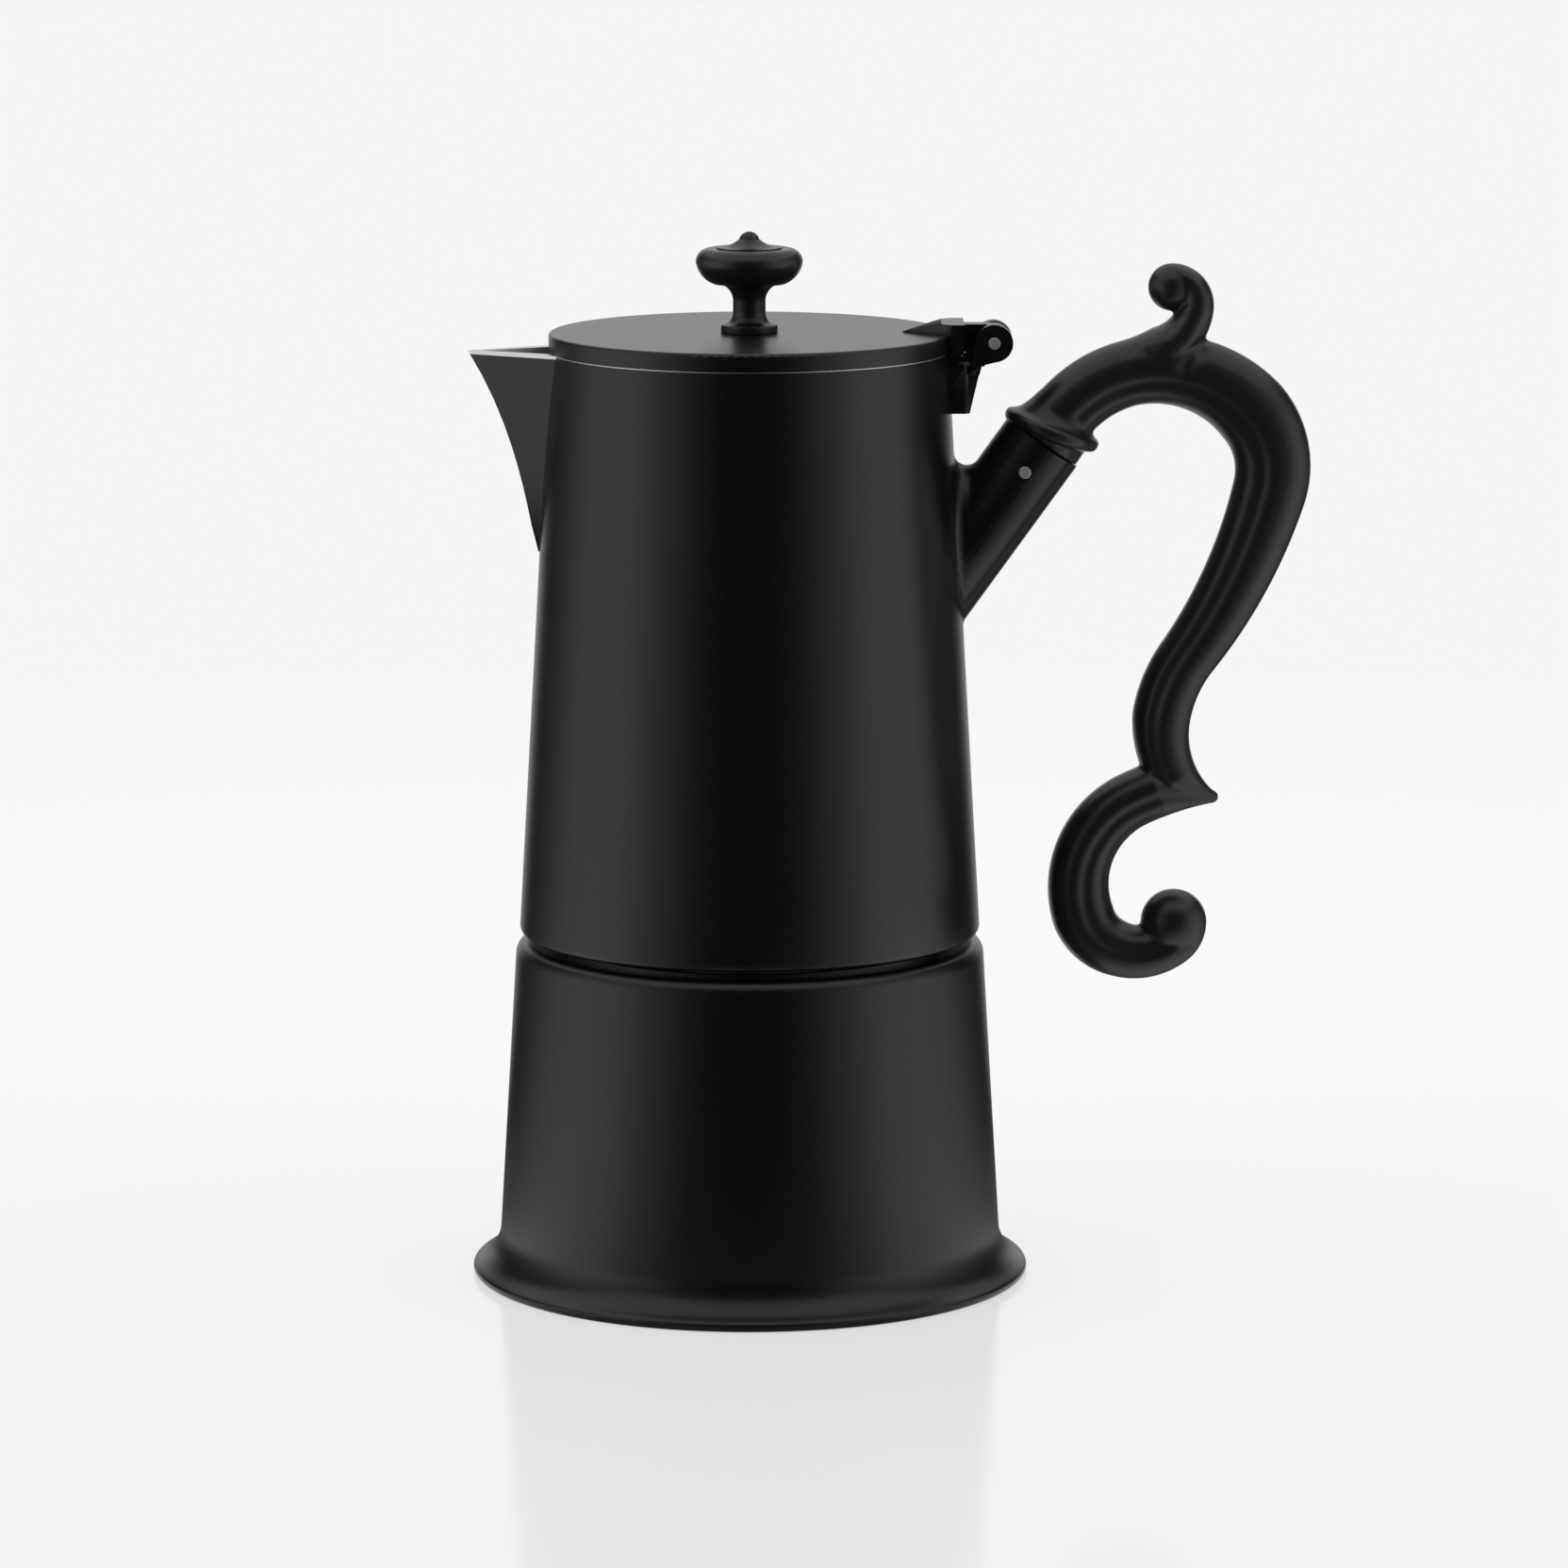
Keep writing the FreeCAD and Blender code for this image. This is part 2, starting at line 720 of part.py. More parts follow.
def add_spout(body, name, shares, wall, cut=False):
    """Loft through the levels of the spout, as its outside or as the channel in it."""
    sections = []
    for number, share in enumerate(shares):
        sections.append(spout_section(body, f"{name}_{number}", share, wall))
    loft = body.newObject("PartDesign::SubtractiveLoft" if cut else "PartDesign::AdditiveLoft", name)
    loft.Profile = sections[0]
    loft.Sections = sections[1:]
    doc.recompute()
    return loft


# The socket's axis, and where the handle's cross pin passes through it
socket_run = cosine(dim.socket_angle)
socket_climb = sine(dim.socket_angle)
tang_pin_x = dim.socket_x - dim.tang_pin_depth * socket_run
tang_pin_z = dim.socket_z - dim.tang_pin_depth * socket_climb


def add_collector():
    """Cast upper jug: tapered wall, floor, spout, slanted handle socket and hinge bracket."""
    body = new_body("collector")
    outside = [
        (0, collector_foot),
        (dim.collector_foot_radius - dim.collector_foot_round, collector_foot, dim.collector_foot_round, 1),
        (dim.collector_foot_radius, collector_foot + dim.collector_foot_round),
        (dim.rim_radius, dim.rim_height),
        (0, dim.rim_height),
    ]
    revolve(body, "jug_outside", outside)
    down = 270 - dim.socket_angle
    socket = cylinder(body, "handle_socket", dim.socket_radius, dim.socket_x / socket_run,
                      ((dim.socket_x, 0, dim.socket_z), down))
    wall_line = dim.rim_radius.value + dim.socket_radius.value / 2
    round_edges(body, "socket_blend", socket, dim.socket_blend,
                lambda edge, middle: 0 < middle.x < wall_line and edge.Length > dim.socket_radius.value
                and dim.bracket_foot.value > middle.z > dim.rim_height.value / 2)
    add_spout(body, "spout_outside", (0.06, 0.25, 0.5, 0.75, 1.0), spout_outside)
    wall_inside = dim.rim_radius - dim.collector_wall / 2
    half_width = dim.hinge_width / 2
    shoulder = dim.rim_radius + dim.bracket_shoulder_out
    nose = dim.bracket_nose_half_width
    bracket = [
        (wall_inside, half_width),
        (wall_inside, -half_width),
        (shoulder, -half_width),
        (dim.bracket_top_reach, -nose),
        (dim.bracket_top_reach, nose),
        (shoulder, half_width),
    ]
    extrude(body, "hinge_bracket", bracket, "XY_Plane", dim.bracket_top - dim.bracket_foot,
            offset=dim.bracket_foot)
    clear_of_nose = dim.bracket_top_reach + dim.loose_fit
    slant = [
        (dim.bracket_foot_reach, dim.bracket_foot),
        (clear_of_nose, dim.bracket_foot),
        (clear_of_nose, dim.bracket_top),
        (dim.bracket_top_reach, dim.bracket_top),
    ]
    extrude(body, "bracket_slant", slant, "XZ_Plane", 2 * dim.hinge_width, cut=True, midplane=True)
    ear = [
        (dim.bracket_foot_reach - dim.loose_fit, dim.bracket_top - dim.ear_radius / 2),
        (dim.bracket_foot_reach + dim.ear_radius / 2, dim.bracket_top - dim.ear_radius / 2),
        (dim.bracket_top_reach, dim.bracket_top),
        (dim.hinge_x + dim.ear_radius / 3, dim.hinge_z - dim.ear_radius * 0.94),
        (dim.hinge_x, dim.hinge_z),
        (dim.hinge_x - dim.ear_radius, dim.hinge_z),
    ]
    extrude(body, "hinge_web", ear, "XZ_Plane", dim.hinge_width, midplane=True)
    lug_face = dim.lid_radius + dim.loose_fit + dim.leaf_block
    sill_low = dim.bracket_top - dim.loose_fit
    sill_top = lid_top - dim.leaf_drop - dim.loose_fit
    sill_far = dim.hinge_x - dim.ear_radius / 2
    cheek_top = dim.hinge_z - dim.ear_radius / 4
    sill = [
        (wall_inside, sill_low),
        (sill_far, sill_low),
        (sill_far, cheek_top),
        (lug_face + dim.loose_fit, cheek_top),
        (lug_face + dim.loose_fit, sill_top),
        (wall_inside, sill_top),
    ]
    extrude(body, "hinge_sill", sill, "XZ_Plane", dim.hinge_width - 2 * dim.sill_setback, midplane=True)
    cylinder(body, "hinge_ears", dim.ear_radius, dim.hinge_width,
             ((dim.hinge_x, -dim.hinge_width / 2, dim.hinge_z), "along_y"))
    slot_low = dim.hinge_z - dim.knuckle_radius - dim.loose_fit
    slot_far = dim.hinge_x + dim.ear_radius + dim.loose_fit
    slot_near = lug_face
    slot_high = dim.hinge_z + dim.ear_radius + dim.loose_fit
    slot = [(slot_near, slot_low), (slot_far, slot_low), (slot_far, slot_high), (slot_near, slot_high)]
    slot_width = dim.knuckle_width + 2 * dim.loose_fit
    extrude(body, "hinge_slot", slot, "XZ_Plane", slot_width, cut=True, midplane=True)
    inside_top = dim.rim_radius - dim.collector_wall
    inside = [
        (0, floor_top),
        (collector_radius(floor_top) - dim.collector_wall, floor_top),
        (inside_top, dim.rim_height),
        (0, dim.rim_height),
    ]
    revolve(body, "jug_inside", inside, cut=True)
    gasket_room = dim.gasket_radius + dim.loose_fit
    filter_room = dim.filter_radius + dim.loose_fit
    underside = [
        (0, collector_foot),
        (dim.collector_bore, collector_foot),
        (dim.collector_bore, funnel_top),
        (gasket_room, funnel_top),
        (gasket_room, gasket_top),
        (filter_room, gasket_top),
        (filter_room, filter_top),
        (dim.gasket_bore, filter_top),
        (dim.column_foot_radius, floor_underside),
        (0, floor_underside),
    ]
    revolve(body, "seal_recess", underside, cut=True)
    cylinder(body, "column_hole", dim.column_spigot + dim.press_fit, floor_top,
             ((0, 0, gasket_top), 0), cut=True)
    add_spout(body, "spout_channel", (0.3, 0.5, 0.75, 1.0), dim.spout_wall, cut=True)
    cylinder(body, "tang_bore", dim.tang_radius + dim.press_fit, dim.socket_depth,
             ((dim.socket_x, 0, dim.socket_z), down), cut=True)
    cylinder(body, "tang_pin_hole", dim.tang_pin_radius + dim.press_fit, 4 * dim.socket_radius,
             ((tang_pin_x, -2 * dim.socket_radius, tang_pin_z), "along_y"), cut=True)
    cylinder(body, "hinge_pin_hole", dim.hinge_pin_radius + dim.press_fit, 2 * dim.hinge_width,
             ((dim.hinge_x, -dim.hinge_width, dim.hinge_z), "along_y"), cut=True)
    return body


def add_riser_column():
    """Tube pressed into the collector's floor; the coffee leaves it by two slots near its closed top."""
    body = new_body("riser_column")
    profile = [
        (dim.column_bore, floor_underside),
        (dim.column_spigot, floor_underside),
        (dim.column_spigot, floor_top),
        (dim.column_foot_radius, floor_top),
        (dim.column_top_radius, dim.column_height - dim.column_cap),
        (dim.column_top_radius - dim.column_cap, dim.column_height),
        (0, dim.column_height),
        (0, dim.column_height - dim.column_cap),
        (dim.column_bore, dim.column_height - dim.column_cap),
    ]
    revolve(body, "column_tube", profile)
    high = dim.column_height - 2 * dim.column_cap
    low = high - dim.outlet_height
    half = dim.outlet_width / 2
    outlet = [(-half, low), (half, low), (half, high), (-half, high)]
    extrude(body, "column_outlets", outlet, "XZ_Plane", 4 * dim.column_foot_radius, cut=True, midplane=True)
    return body


def add_lid():
    """Flat cast lid with a locating skirt, and the hinge leaf that runs to the knuckle."""
    body = new_body("lid")
    skirt = dim.rim_radius - dim.collector_wall - 2 * dim.loose_fit
    disc = [
        (0, lid_underside),
        (skirt - dim.skirt_wall, lid_underside),
        (skirt - dim.skirt_wall, lid_seat - dim.skirt_depth),
        (skirt, lid_seat - dim.skirt_depth),
        (skirt, lid_seat),
        (dim.lid_radius, lid_seat),
        (dim.lid_radius, lid_top - dim.lid_round, dim.lid_round, 1),
        (dim.lid_radius - dim.lid_round, lid_top),
        (0, lid_top),
    ]
    revolve(body, "lid_disc", disc)
    block_back = dim.lid_radius + dim.loose_fit
    block_face = block_back + dim.leaf_block
    leaf_top = lid_top + dim.leaf_rise
    plan = [
        (dim.leaf_tip, dim.leaf_rise / 4),
        (dim.leaf_tip, -dim.leaf_rise / 4),
        (block_back, -dim.leaf_half_width),
        (block_face, -dim.leaf_half_width),
        (block_face, dim.leaf_half_width),
        (block_back, dim.leaf_half_width),
    ]
    extrude(body, "hinge_leaf", plan, "XY_Plane", leaf_top - lid_underside, offset=lid_underside)
    ramp = [
        (dim.leaf_tip - dim.leaf_rise, lid_top),
        (dim.leaf_tip, lid_top + dim.leaf_rise / 8),
        (block_back - dim.leaf_rise, leaf_top),
        (block_back - dim.leaf_rise, leaf_top + dim.leaf_rise),
        (dim.leaf_tip - dim.leaf_rise, leaf_top + dim.leaf_rise),
    ]
    extrude(body, "leaf_ramp", ramp, "XZ_Plane", 4 * dim.leaf_half_width, cut=True, midplane=True)
    block_low = lid_top - dim.leaf_drop
    block = [
        (block_back, block_low),
        (block_face - dim.leaf_block / 3, block_low),
        (block_face, lid_underside),
        (block_face, leaf_top),
        (block_back, leaf_top),
    ]
    extrude(body, "leaf_drop", block, "XZ_Plane", 2 * dim.leaf_half_width, midplane=True)
    tongue = [
        (block_back, lid_seat),
        (dim.hinge_x, lid_seat),
        (dim.hinge_x, dim.hinge_z + dim.knuckle_radius),
        (block_back, dim.hinge_z + dim.knuckle_radius),
    ]
    extrude(body, "hinge_tongue", tongue, "XZ_Plane", dim.knuckle_width, midplane=True)
    cylinder(body, "hinge_knuckle", dim.knuckle_radius, dim.knuckle_width,
             ((dim.hinge_x, -dim.knuckle_width / 2, dim.hinge_z), "along_y"))
    cylinder(body, "knuckle_bore", dim.hinge_pin_radius + dim.running_fit, 2 * dim.knuckle_width,
             ((dim.hinge_x, -dim.knuckle_width, dim.hinge_z), "along_y"), cut=True)
    cylinder(body, "knob_screw_hole", dim.screw_radius + dim.loose_fit / 2, 2 * dim.lid_edge,
             ((0, 0, lid_underside - dim.lid_edge / 2), 0), cut=True)
    return body


def add_knob():
    """Turned knob: flange, waisted neck, mushroom head with a step, and a pointed button on top."""
    body = new_body("knob")
    head = lid_top + dim.knob_head_height
    top = lid_top + dim.knob_height
    button = dim.knob_button_radius
    step = head + 1.6 * dim.knob_flange
    under = head - 2.7 * dim.knob_flange
    waist_top = head - 5 * dim.knob_flange
    waist_low = lid_top + 2.7 * dim.knob_flange
    cove_low = lid_top + 1.3 * dim.knob_flange
    bore = dim.screw_radius + dim.press_fit
    bore_end = lid_top + dim.screw_reach + dim.loose_fit
    profile = [
        (bore, lid_top),
        (dim.knob_flange_radius, lid_top),
        (dim.knob_flange_radius, lid_top + dim.knob_flange),
        (dim.knob_neck_radius + dim.knob_flange / 2, cove_low, 2 * dim.knob_flange, -1),
        (dim.knob_neck_radius, waist_low),
        (dim.knob_neck_radius, waist_top, 2.2 * dim.knob_flange, -1),
        (dim.knob_collar_radius, under),
        (dim.knob_collar_radius + dim.knob_flange / 2, under, 3.4 * dim.knob_flange, 1),
        (dim.knob_head_radius, head, 1.7 * dim.knob_flange, 1),
        (dim.knob_collar_radius + dim.knob_flange / 2, step),
        (dim.knob_collar_radius, step),
        (dim.knob_collar_radius, step + dim.knob_flange / 5, 4 * dim.knob_flange, -1),
        (0.96 * button, top - 0.72 * button, button, 1),
        (0, top),
        (0, bore_end),
        (bore, bore_end),
    ]
    revolve(body, "knob_turning", profile)
    return body


washer_low = lid_underside - dim.screw_washer


def add_knob_screw():
    """Pan-head screw from inside the lid up into the knob."""
    body = new_body("knob_screw")
    profile = [
        (0, washer_low - dim.screw_head),
        (dim.screw_head_radius - dim.screw_head / 3, washer_low - dim.screw_head),
        (dim.screw_head_radius, washer_low - dim.screw_head * 0.6),
        (dim.screw_head_radius, washer_low),
        (dim.screw_radius, washer_low),
        (dim.screw_radius, lid_top + dim.screw_reach),
        (0, lid_top + dim.screw_reach),
    ]
    revolve(body, "screw_turning", profile)
    return body


def add_knob_washer():
    """Flat washer under the screw's head."""
    body = new_body("knob_washer")
    bore = dim.screw_radius + dim.loose_fit / 2
    ring(body, "washer_disc", bore, dim.screw_washer_radius, washer_low, lid_underside)
    return body


def add_cross_pin(label, radius, length, across, up):
    """A steel pin that lies along Y."""
    body = new_body(label)
    body.Placement.Rotation = FreeCAD.Rotation(FreeCAD.Vector(1, 0, 0), -90)
    bind(body, "Placement.Base.x", across)
    bind(body, "Placement.Base.z", up)
    half = length / 2
    bevel = radius / 5
    profile = [
        (0, -half),
        (radius - bevel, -half),
        (radius, bevel - half),
        (radius, half - bevel),
        (radius - bevel, half),
        (0, half),
    ]
    revolve(body, f"{label}_bar", profile)
    return body


CENTRE_LINE = 0
LEFT_EDGE = 1
RIGHT_EDGE = -1


def normal(heading):
    """Unit vector to the left of a heading in the plane Y = 0."""
    angle = math.radians(heading)
    return FreeCAD.Vector(-math.sin(angle), 0, math.cos(angle))


class Strand:
    """A limb of the handle, swept along tangent arcs in the plane Y = 0 with a changing half width."""

    half_section = [
        (1.0, 0.0), (0.84, 0.56), (0.34, 0.97), (-0.22, 0.88), (-0.66, 0.76), (-0.93, 0.4), (-1.0, 0.0)]

    def __init__(self, start, heading, half_width, half_thickness, fullness):
        self.end = (start, heading, half_width.value)
        self.half_thickness = half_thickness
        self.fullness = fullness
        self.pieces = []

    def section(self, centre, heading, half_width):
        """Closed outline across the limb, with a shallow valley in both flat sides."""
        depth = min(self.half_thickness, half_width * self.fullness)
        other_half = [(across, -out) for across, out in reversed(self.half_section[1:-1])]
        points = [centre + normal(heading) * across * half_width + FreeCAD.Vector(0, out * depth, 0)
                  for across, out in self.half_section + other_half]
        curve = Part.BSplineCurve()
        curve.interpolate(Points=points, PeriodicFlag=True)
        return Part.Wire([curve.toShape()])

    def bend(self, radius, turn, half_width, follow=CENTRE_LINE):
        """Carry on along an arc, followed by the centre line or by one edge; left turns are positive."""
        last_width = as_size(half_width).value
        first_width = self.end[2]
        steps = math.ceil(abs(turn.value) / 31)
        reach = math.copysign(radius.value, turn.value)
        for step in range(1, steps + 1):
            centre, heading, width = self.end
            next_heading = heading + turn.value / steps
            next_width = first_width + (last_width - first_width) * step / steps
            begin = centre + normal(heading) * follow * width
            hub = begin + normal(heading) * reach
            middle = hub - normal((heading + next_heading) / 2) * reach
            finish = hub - normal(next_heading) * reach
            spine = Part.Wire([Part.Arc(begin, middle, finish).toShape()])
            next_centre = finish - normal(next_heading) * follow * next_width
            ends = [self.section(*self.end), self.section(next_centre, next_heading, next_width)]
            self.pieces.append(spine.makePipeShell(ends, True, False))
            self.end = (next_centre, next_heading, next_width)

    def ball(self, radius):
        """Round terminal that lies inside the right edge of the limb's end."""
        centre, heading, half_width = self.end
        return Part.makeSphere(radius.value, centre + normal(heading) * (radius.value - half_width))


def add_handle():
    """Moulded scroll handle: tang, collar, arch and arm with a spur, lower scroll, and a curled leaf."""
    angle = math.radians(dim.socket_angle.value)
    axis = FreeCAD.Vector(math.cos(angle), 0, math.sin(angle))
    socket_end = FreeCAD.Vector(dim.socket_x.value, 0, dim.socket_z.value)
    tilt = math.radians(dim.collar_tilt.value)
    collar_axis = FreeCAD.Vector(math.cos(tilt), 0, math.sin(tilt))
    collar_centre = socket_end + axis * dim.collar_rise.value
    seat = socket_end + axis * dim.lid_fit.value
    tang_length = dim.socket_depth.value - dim.loose_fit.value + dim.collar_rise.value
    tang = Part.makeCylinder(dim.tang_radius.value, tang_length, collar_centre, -axis)
    neck_radius = dim.socket_radius.value - dim.loose_fit.value
    neck = Part.makeLoft([
        Part.Wire([Part.Circle(seat, axis, neck_radius).toShape()]),
        Part.Wire([Part.Circle(collar_centre, collar_axis, neck_radius).toShape()]),
    ], True, True)
    lip = dim.collar_lip.value
    lip_base = collar_centre - collar_axis * lip / 2
    lip_disc = Part.makeCylinder(dim.collar_radius.value, lip, lip_base, collar_axis)
    lip_disc = lip_disc.makeFillet(lip * 0.45, [lip_disc.Edges[0], lip_disc.Edges[2]])
    cove_base = collar_centre + collar_axis * lip / 4
    cove_height = dim.collar_cove.value
    cove = Part.makeCone(neck_radius, dim.root_half_width.value, cove_height, cove_base, collar_axis)

    half = dim.handle_thickness.value / 2
    arm_root = socket_end + axis * dim.arm_root.value
    arm = Strand(arm_root, dim.arm_heading.value, dim.root_half_width, half, 1.15)
    arm.bend(dim.root_radius, -dim.root_angle, dim.root_half_width)
    arm.bend(dim.arch_radius, -dim.leaf_start_angle, dim.root_half_width)
    leaf_place, leaf_heading, arm_half_width = arm.end
    arm.bend(dim.arch_radius, dim.leaf_start_angle - dim.arch_angle, dim.arch_half_width)
    arm.bend(dim.bow_radius, -dim.bow_angle, dim.bow_half_width)
    arm.bend(dim.arm_radius, -dim.arm_angle, dim.knee_half_width)
    arm.bend(dim.knee_radius, dim.knee_angle, dim.knee_half_width)
    arm.bend(dim.spur_radius, dim.spur_bend_angle, dim.spur_bend_half_width, LEFT_EDGE)
    arm.bend(dim.spur_radius, dim.spur_tip_angle, dim.spur_tip, LEFT_EDGE)

    tail_half_width = dim.scroll_tail_half_width
    scroll = Strand(arm.end[0], dim.scroll_heading.value, dim.spur_tip, half, 1.15)
    scroll.bend(dim.scroll_lead, dim.scroll_swell_angle, dim.scroll_half_width, LEFT_EDGE)
    scroll.bend(dim.scroll_lead, dim.scroll_lead_angle, dim.scroll_half_width, LEFT_EDGE)
    scroll.bend(dim.scroll_radius, dim.scroll_angle, dim.scroll_belly_half_width)
    scroll.bend(dim.scroll_tight_radius, dim.scroll_tight_angle, dim.scroll_half_width)
    scroll.bend(dim.scroll_tail_radius, dim.scroll_tail_angle, tail_half_width, RIGHT_EDGE)
    scroll.bend(dim.scroll_curl_radius, dim.scroll_curl_angle, tail_half_width / 2, RIGHT_EDGE)

    inset = arm_half_width - dim.leaf_root_half_width.value
    leaf = Strand(leaf_place + normal(leaf_heading) * inset, leaf_heading, dim.leaf_root_half_width,
                  dim.leaf_thickness.value / 2, 1.5)
    leaf.bend(dim.leaf_radius, dim.leaf_angle, dim.leaf_neck_half_width, LEFT_EDGE)
    leaf.bend(dim.leaf_bend_radius, dim.leaf_bend_angle, dim.leaf_bend_half_width, RIGHT_EDGE)
    leaf.bend(dim.leaf_curl_radius, dim.leaf_curl_angle, dim.leaf_end_half_width, RIGHT_EDGE)

    limbs = arm.pieces[1:] + scroll.pieces + leaf.pieces
    balls = [scroll.ball(dim.scroll_ball_radius), leaf.ball(dim.leaf_ball_radius)]
    solid = arm.pieces[0].multiFuse(limbs + balls + [neck, lip_disc, cove, tang])
    pin_length = 4 * dim.tang_radius.value
    pin_start = FreeCAD.Vector(tang_pin_x.value, -pin_length / 2, tang_pin_z.value)
    pin_hole_radius = dim.tang_pin_radius.value + dim.press_fit.value
    pin_hole = Part.makeCylinder(pin_hole_radius, pin_length, pin_start, FreeCAD.Vector(0, 1, 0))
    handle = doc.addObject("Part::Feature", "handle")
    handle.Shape = solid.cut(pin_hole)
    return handle


parts = [
    add_boiler(),
    add_valve_body(),
    add_valve_washer(),
    add_valve_cap(),
    add_valve_stem(),
    add_valve_seal(),
    add_valve_spring(),
    add_funnel(),
    add_sieve("funnel_plate", basket_inside - dim.loose_fit / 2, basket_floor + dim.funnel_wall),
    add_gasket(),
    add_sieve("filter_plate", dim.filter_radius, gasket_top),
    add_collector(),
    add_riser_column(),
    add_lid(),
    add_knob(),
    add_knob_screw(),
    add_knob_washer(),
    add_cross_pin("hinge_pin", dim.hinge_pin_radius, dim.hinge_width, dim.hinge_x, dim.hinge_z),
    add_handle(),
    add_cross_pin("handle_pin", dim.tang_pin_radius, 2 * dim.socket_radius, tang_pin_x, tang_pin_z),
]

doc.recompute()
for item in doc.Objects:
    if "Invalid" in item.State or "Error" in item.State:
        raise RuntimeError(f"{item.Label} failed to rebuild: {item.State}")
os.makedirs("parts", exist_ok=True)
for part in parts:
    if part.Shape.isNull() or not part.Shape.isValid():
        raise RuntimeError(f"{part.Label} has no valid shape")
    if len(part.Shape.Solids) != 1:
        raise RuntimeError(f"{part.Label} is not one solid")
for part in parts:
    part.Shape.exportStep(f"parts/{part.Label}.step")
    print(f"{part.Label}: {part.Shape.Volume / 1000:.2f} cm3")
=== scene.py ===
# Stove-top moka pot in black coated aluminium with a moulded scroll handle, seen in a white studio.
# Lengths in the sections are millimetres; the meshes are in metres, in the frame of the solids:
# +Z up the pot's axis, +X from the spout to the handle, the valve on the far side at +Y.
import math

import bmesh
import bpy
from mathutils import Matrix, Vector


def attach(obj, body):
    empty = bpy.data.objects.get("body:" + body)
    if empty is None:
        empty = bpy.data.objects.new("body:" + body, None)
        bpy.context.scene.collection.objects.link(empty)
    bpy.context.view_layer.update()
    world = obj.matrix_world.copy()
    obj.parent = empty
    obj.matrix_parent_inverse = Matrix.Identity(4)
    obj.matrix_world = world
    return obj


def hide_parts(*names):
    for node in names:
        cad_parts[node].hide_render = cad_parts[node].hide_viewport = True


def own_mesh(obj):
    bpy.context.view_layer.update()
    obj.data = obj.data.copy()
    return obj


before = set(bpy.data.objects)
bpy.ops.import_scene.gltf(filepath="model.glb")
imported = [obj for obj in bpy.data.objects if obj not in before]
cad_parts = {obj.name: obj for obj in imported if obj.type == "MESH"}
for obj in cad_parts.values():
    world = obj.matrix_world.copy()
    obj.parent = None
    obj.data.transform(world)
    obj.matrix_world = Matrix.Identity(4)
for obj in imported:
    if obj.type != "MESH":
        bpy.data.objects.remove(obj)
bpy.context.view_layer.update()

MM = 0.001

# Boiler: the lower vessel, spun and turned from aluminium and coated satin black outside. Its foot
# flares to a rounded edge, its shoulder ends in a ledge, and a bare neck above it carries the thread.


def coating(name, colour, roughness, grain, depth):
    """A satin dark finish with a fine grain."""
    material = bpy.data.materials.new(name)
    material.use_nodes = True
    nodes = material.node_tree.nodes
    links = material.node_tree.links
    shader = nodes["Principled BSDF"]
    shader.inputs["Base Color"].default_value = (*colour, 1)
    place = nodes.new("ShaderNodeTexCoord")
    speckle = nodes.new("ShaderNodeTexNoise")
    speckle.inputs["Scale"].default_value = 1 / (grain * MM)
    speckle.inputs["Detail"].default_value = 3
    links.new(place.outputs["Object"], speckle.inputs["Vector"])
    gloss = nodes.new("ShaderNodeMapRange")
    gloss.inputs["From Min"].default_value = 0.3
    gloss.inputs["From Max"].default_value = 0.7
    gloss.inputs["To Min"].default_value = roughness - 0.03
    gloss.inputs["To Max"].default_value = roughness + 0.03
    links.new(speckle.outputs["Fac"], gloss.inputs["Value"])
    links.new(gloss.outputs["Result"], shader.inputs["Roughness"])
    relief = nodes.new("ShaderNodeBump")
    relief.inputs["Strength"].default_value = 0.3
    relief.inputs["Distance"].default_value = depth * MM
    links.new(speckle.outputs["Fac"], relief.inputs["Height"])
    links.new(relief.outputs["Normal"], shader.inputs["Normal"])
    return material


def turned_metal(name, colour, roughness, ring):
    """Bare metal with fine turning marks in rings about the pot's axis."""
    material = bpy.data.materials.new(name)
    material.use_nodes = True
    nodes = material.node_tree.nodes
    links = material.node_tree.links
    shader = nodes["Principled BSDF"]
    shader.inputs["Base Color"].default_value = (*colour, 1)
    shader.inputs["Metallic"].default_value = 1
    shader.inputs["Roughness"].default_value = roughness
    place = nodes.new("ShaderNodeTexCoord")
    marks = nodes.new("ShaderNodeTexWave")
    marks.wave_type = "RINGS"
    marks.rings_direction = "Z"
    marks.inputs["Scale"].default_value = 1 / (ring * MM) / 20
    marks.inputs["Distortion"].default_value = 0.6
    links.new(place.outputs["Object"], marks.inputs["Vector"])
    relief = nodes.new("ShaderNodeBump")
    relief.inputs["Strength"].default_value = 0.12
    relief.inputs["Distance"].default_value = 0.02 * MM
    links.new(marks.outputs["Fac"], relief.inputs["Height"])
    links.new(relief.outputs["Normal"], shader.inputs["Normal"])
    return material


black_coat = coating("satin black coat", (0.003, 0.003, 0.0031), 0.32, 0.5, 0.05)
bare_aluminium = turned_metal("bare aluminium", (0.78, 0.78, 0.77), 0.42, 0.35)


def arc(start, end, radius, side, steps=10):
    """Points from start to end on the minor arc; side +1 turns left on the way, -1 turns right."""
    chord = end - start
    rise = math.sqrt(max(radius * radius - chord.length_squared / 4, 0))
    hub = (start + end) / 2 + Vector((-chord.y, chord.x)).normalized() * rise * side
    first = start - hub
    last = end - hub
    turn = math.atan2(first.x * last.y - first.y * last.x, first.dot(last))
    points = []
    for step in range(steps + 1):
        angle = turn * step / steps
        points.append(hub + Vector((first.x * math.cos(angle) - first.y * math.sin(angle),
                                    first.x * math.sin(angle) + first.y * math.cos(angle))))
    return points


def profile(corners):
    """Points through (radius, height) corners; (radius, height, arc radius, side) leads on by an arc."""
    points = []
    for corner, after in zip(corners, corners[1:]):
        if len(corner) == 2:
            points.append(Vector(corner))
        else:
            points.extend(arc(Vector(corner[:2]), Vector(after[:2]), corner[2], corner[3])[:-1])
    points.append(Vector(corners[-1][:2]))
    return points


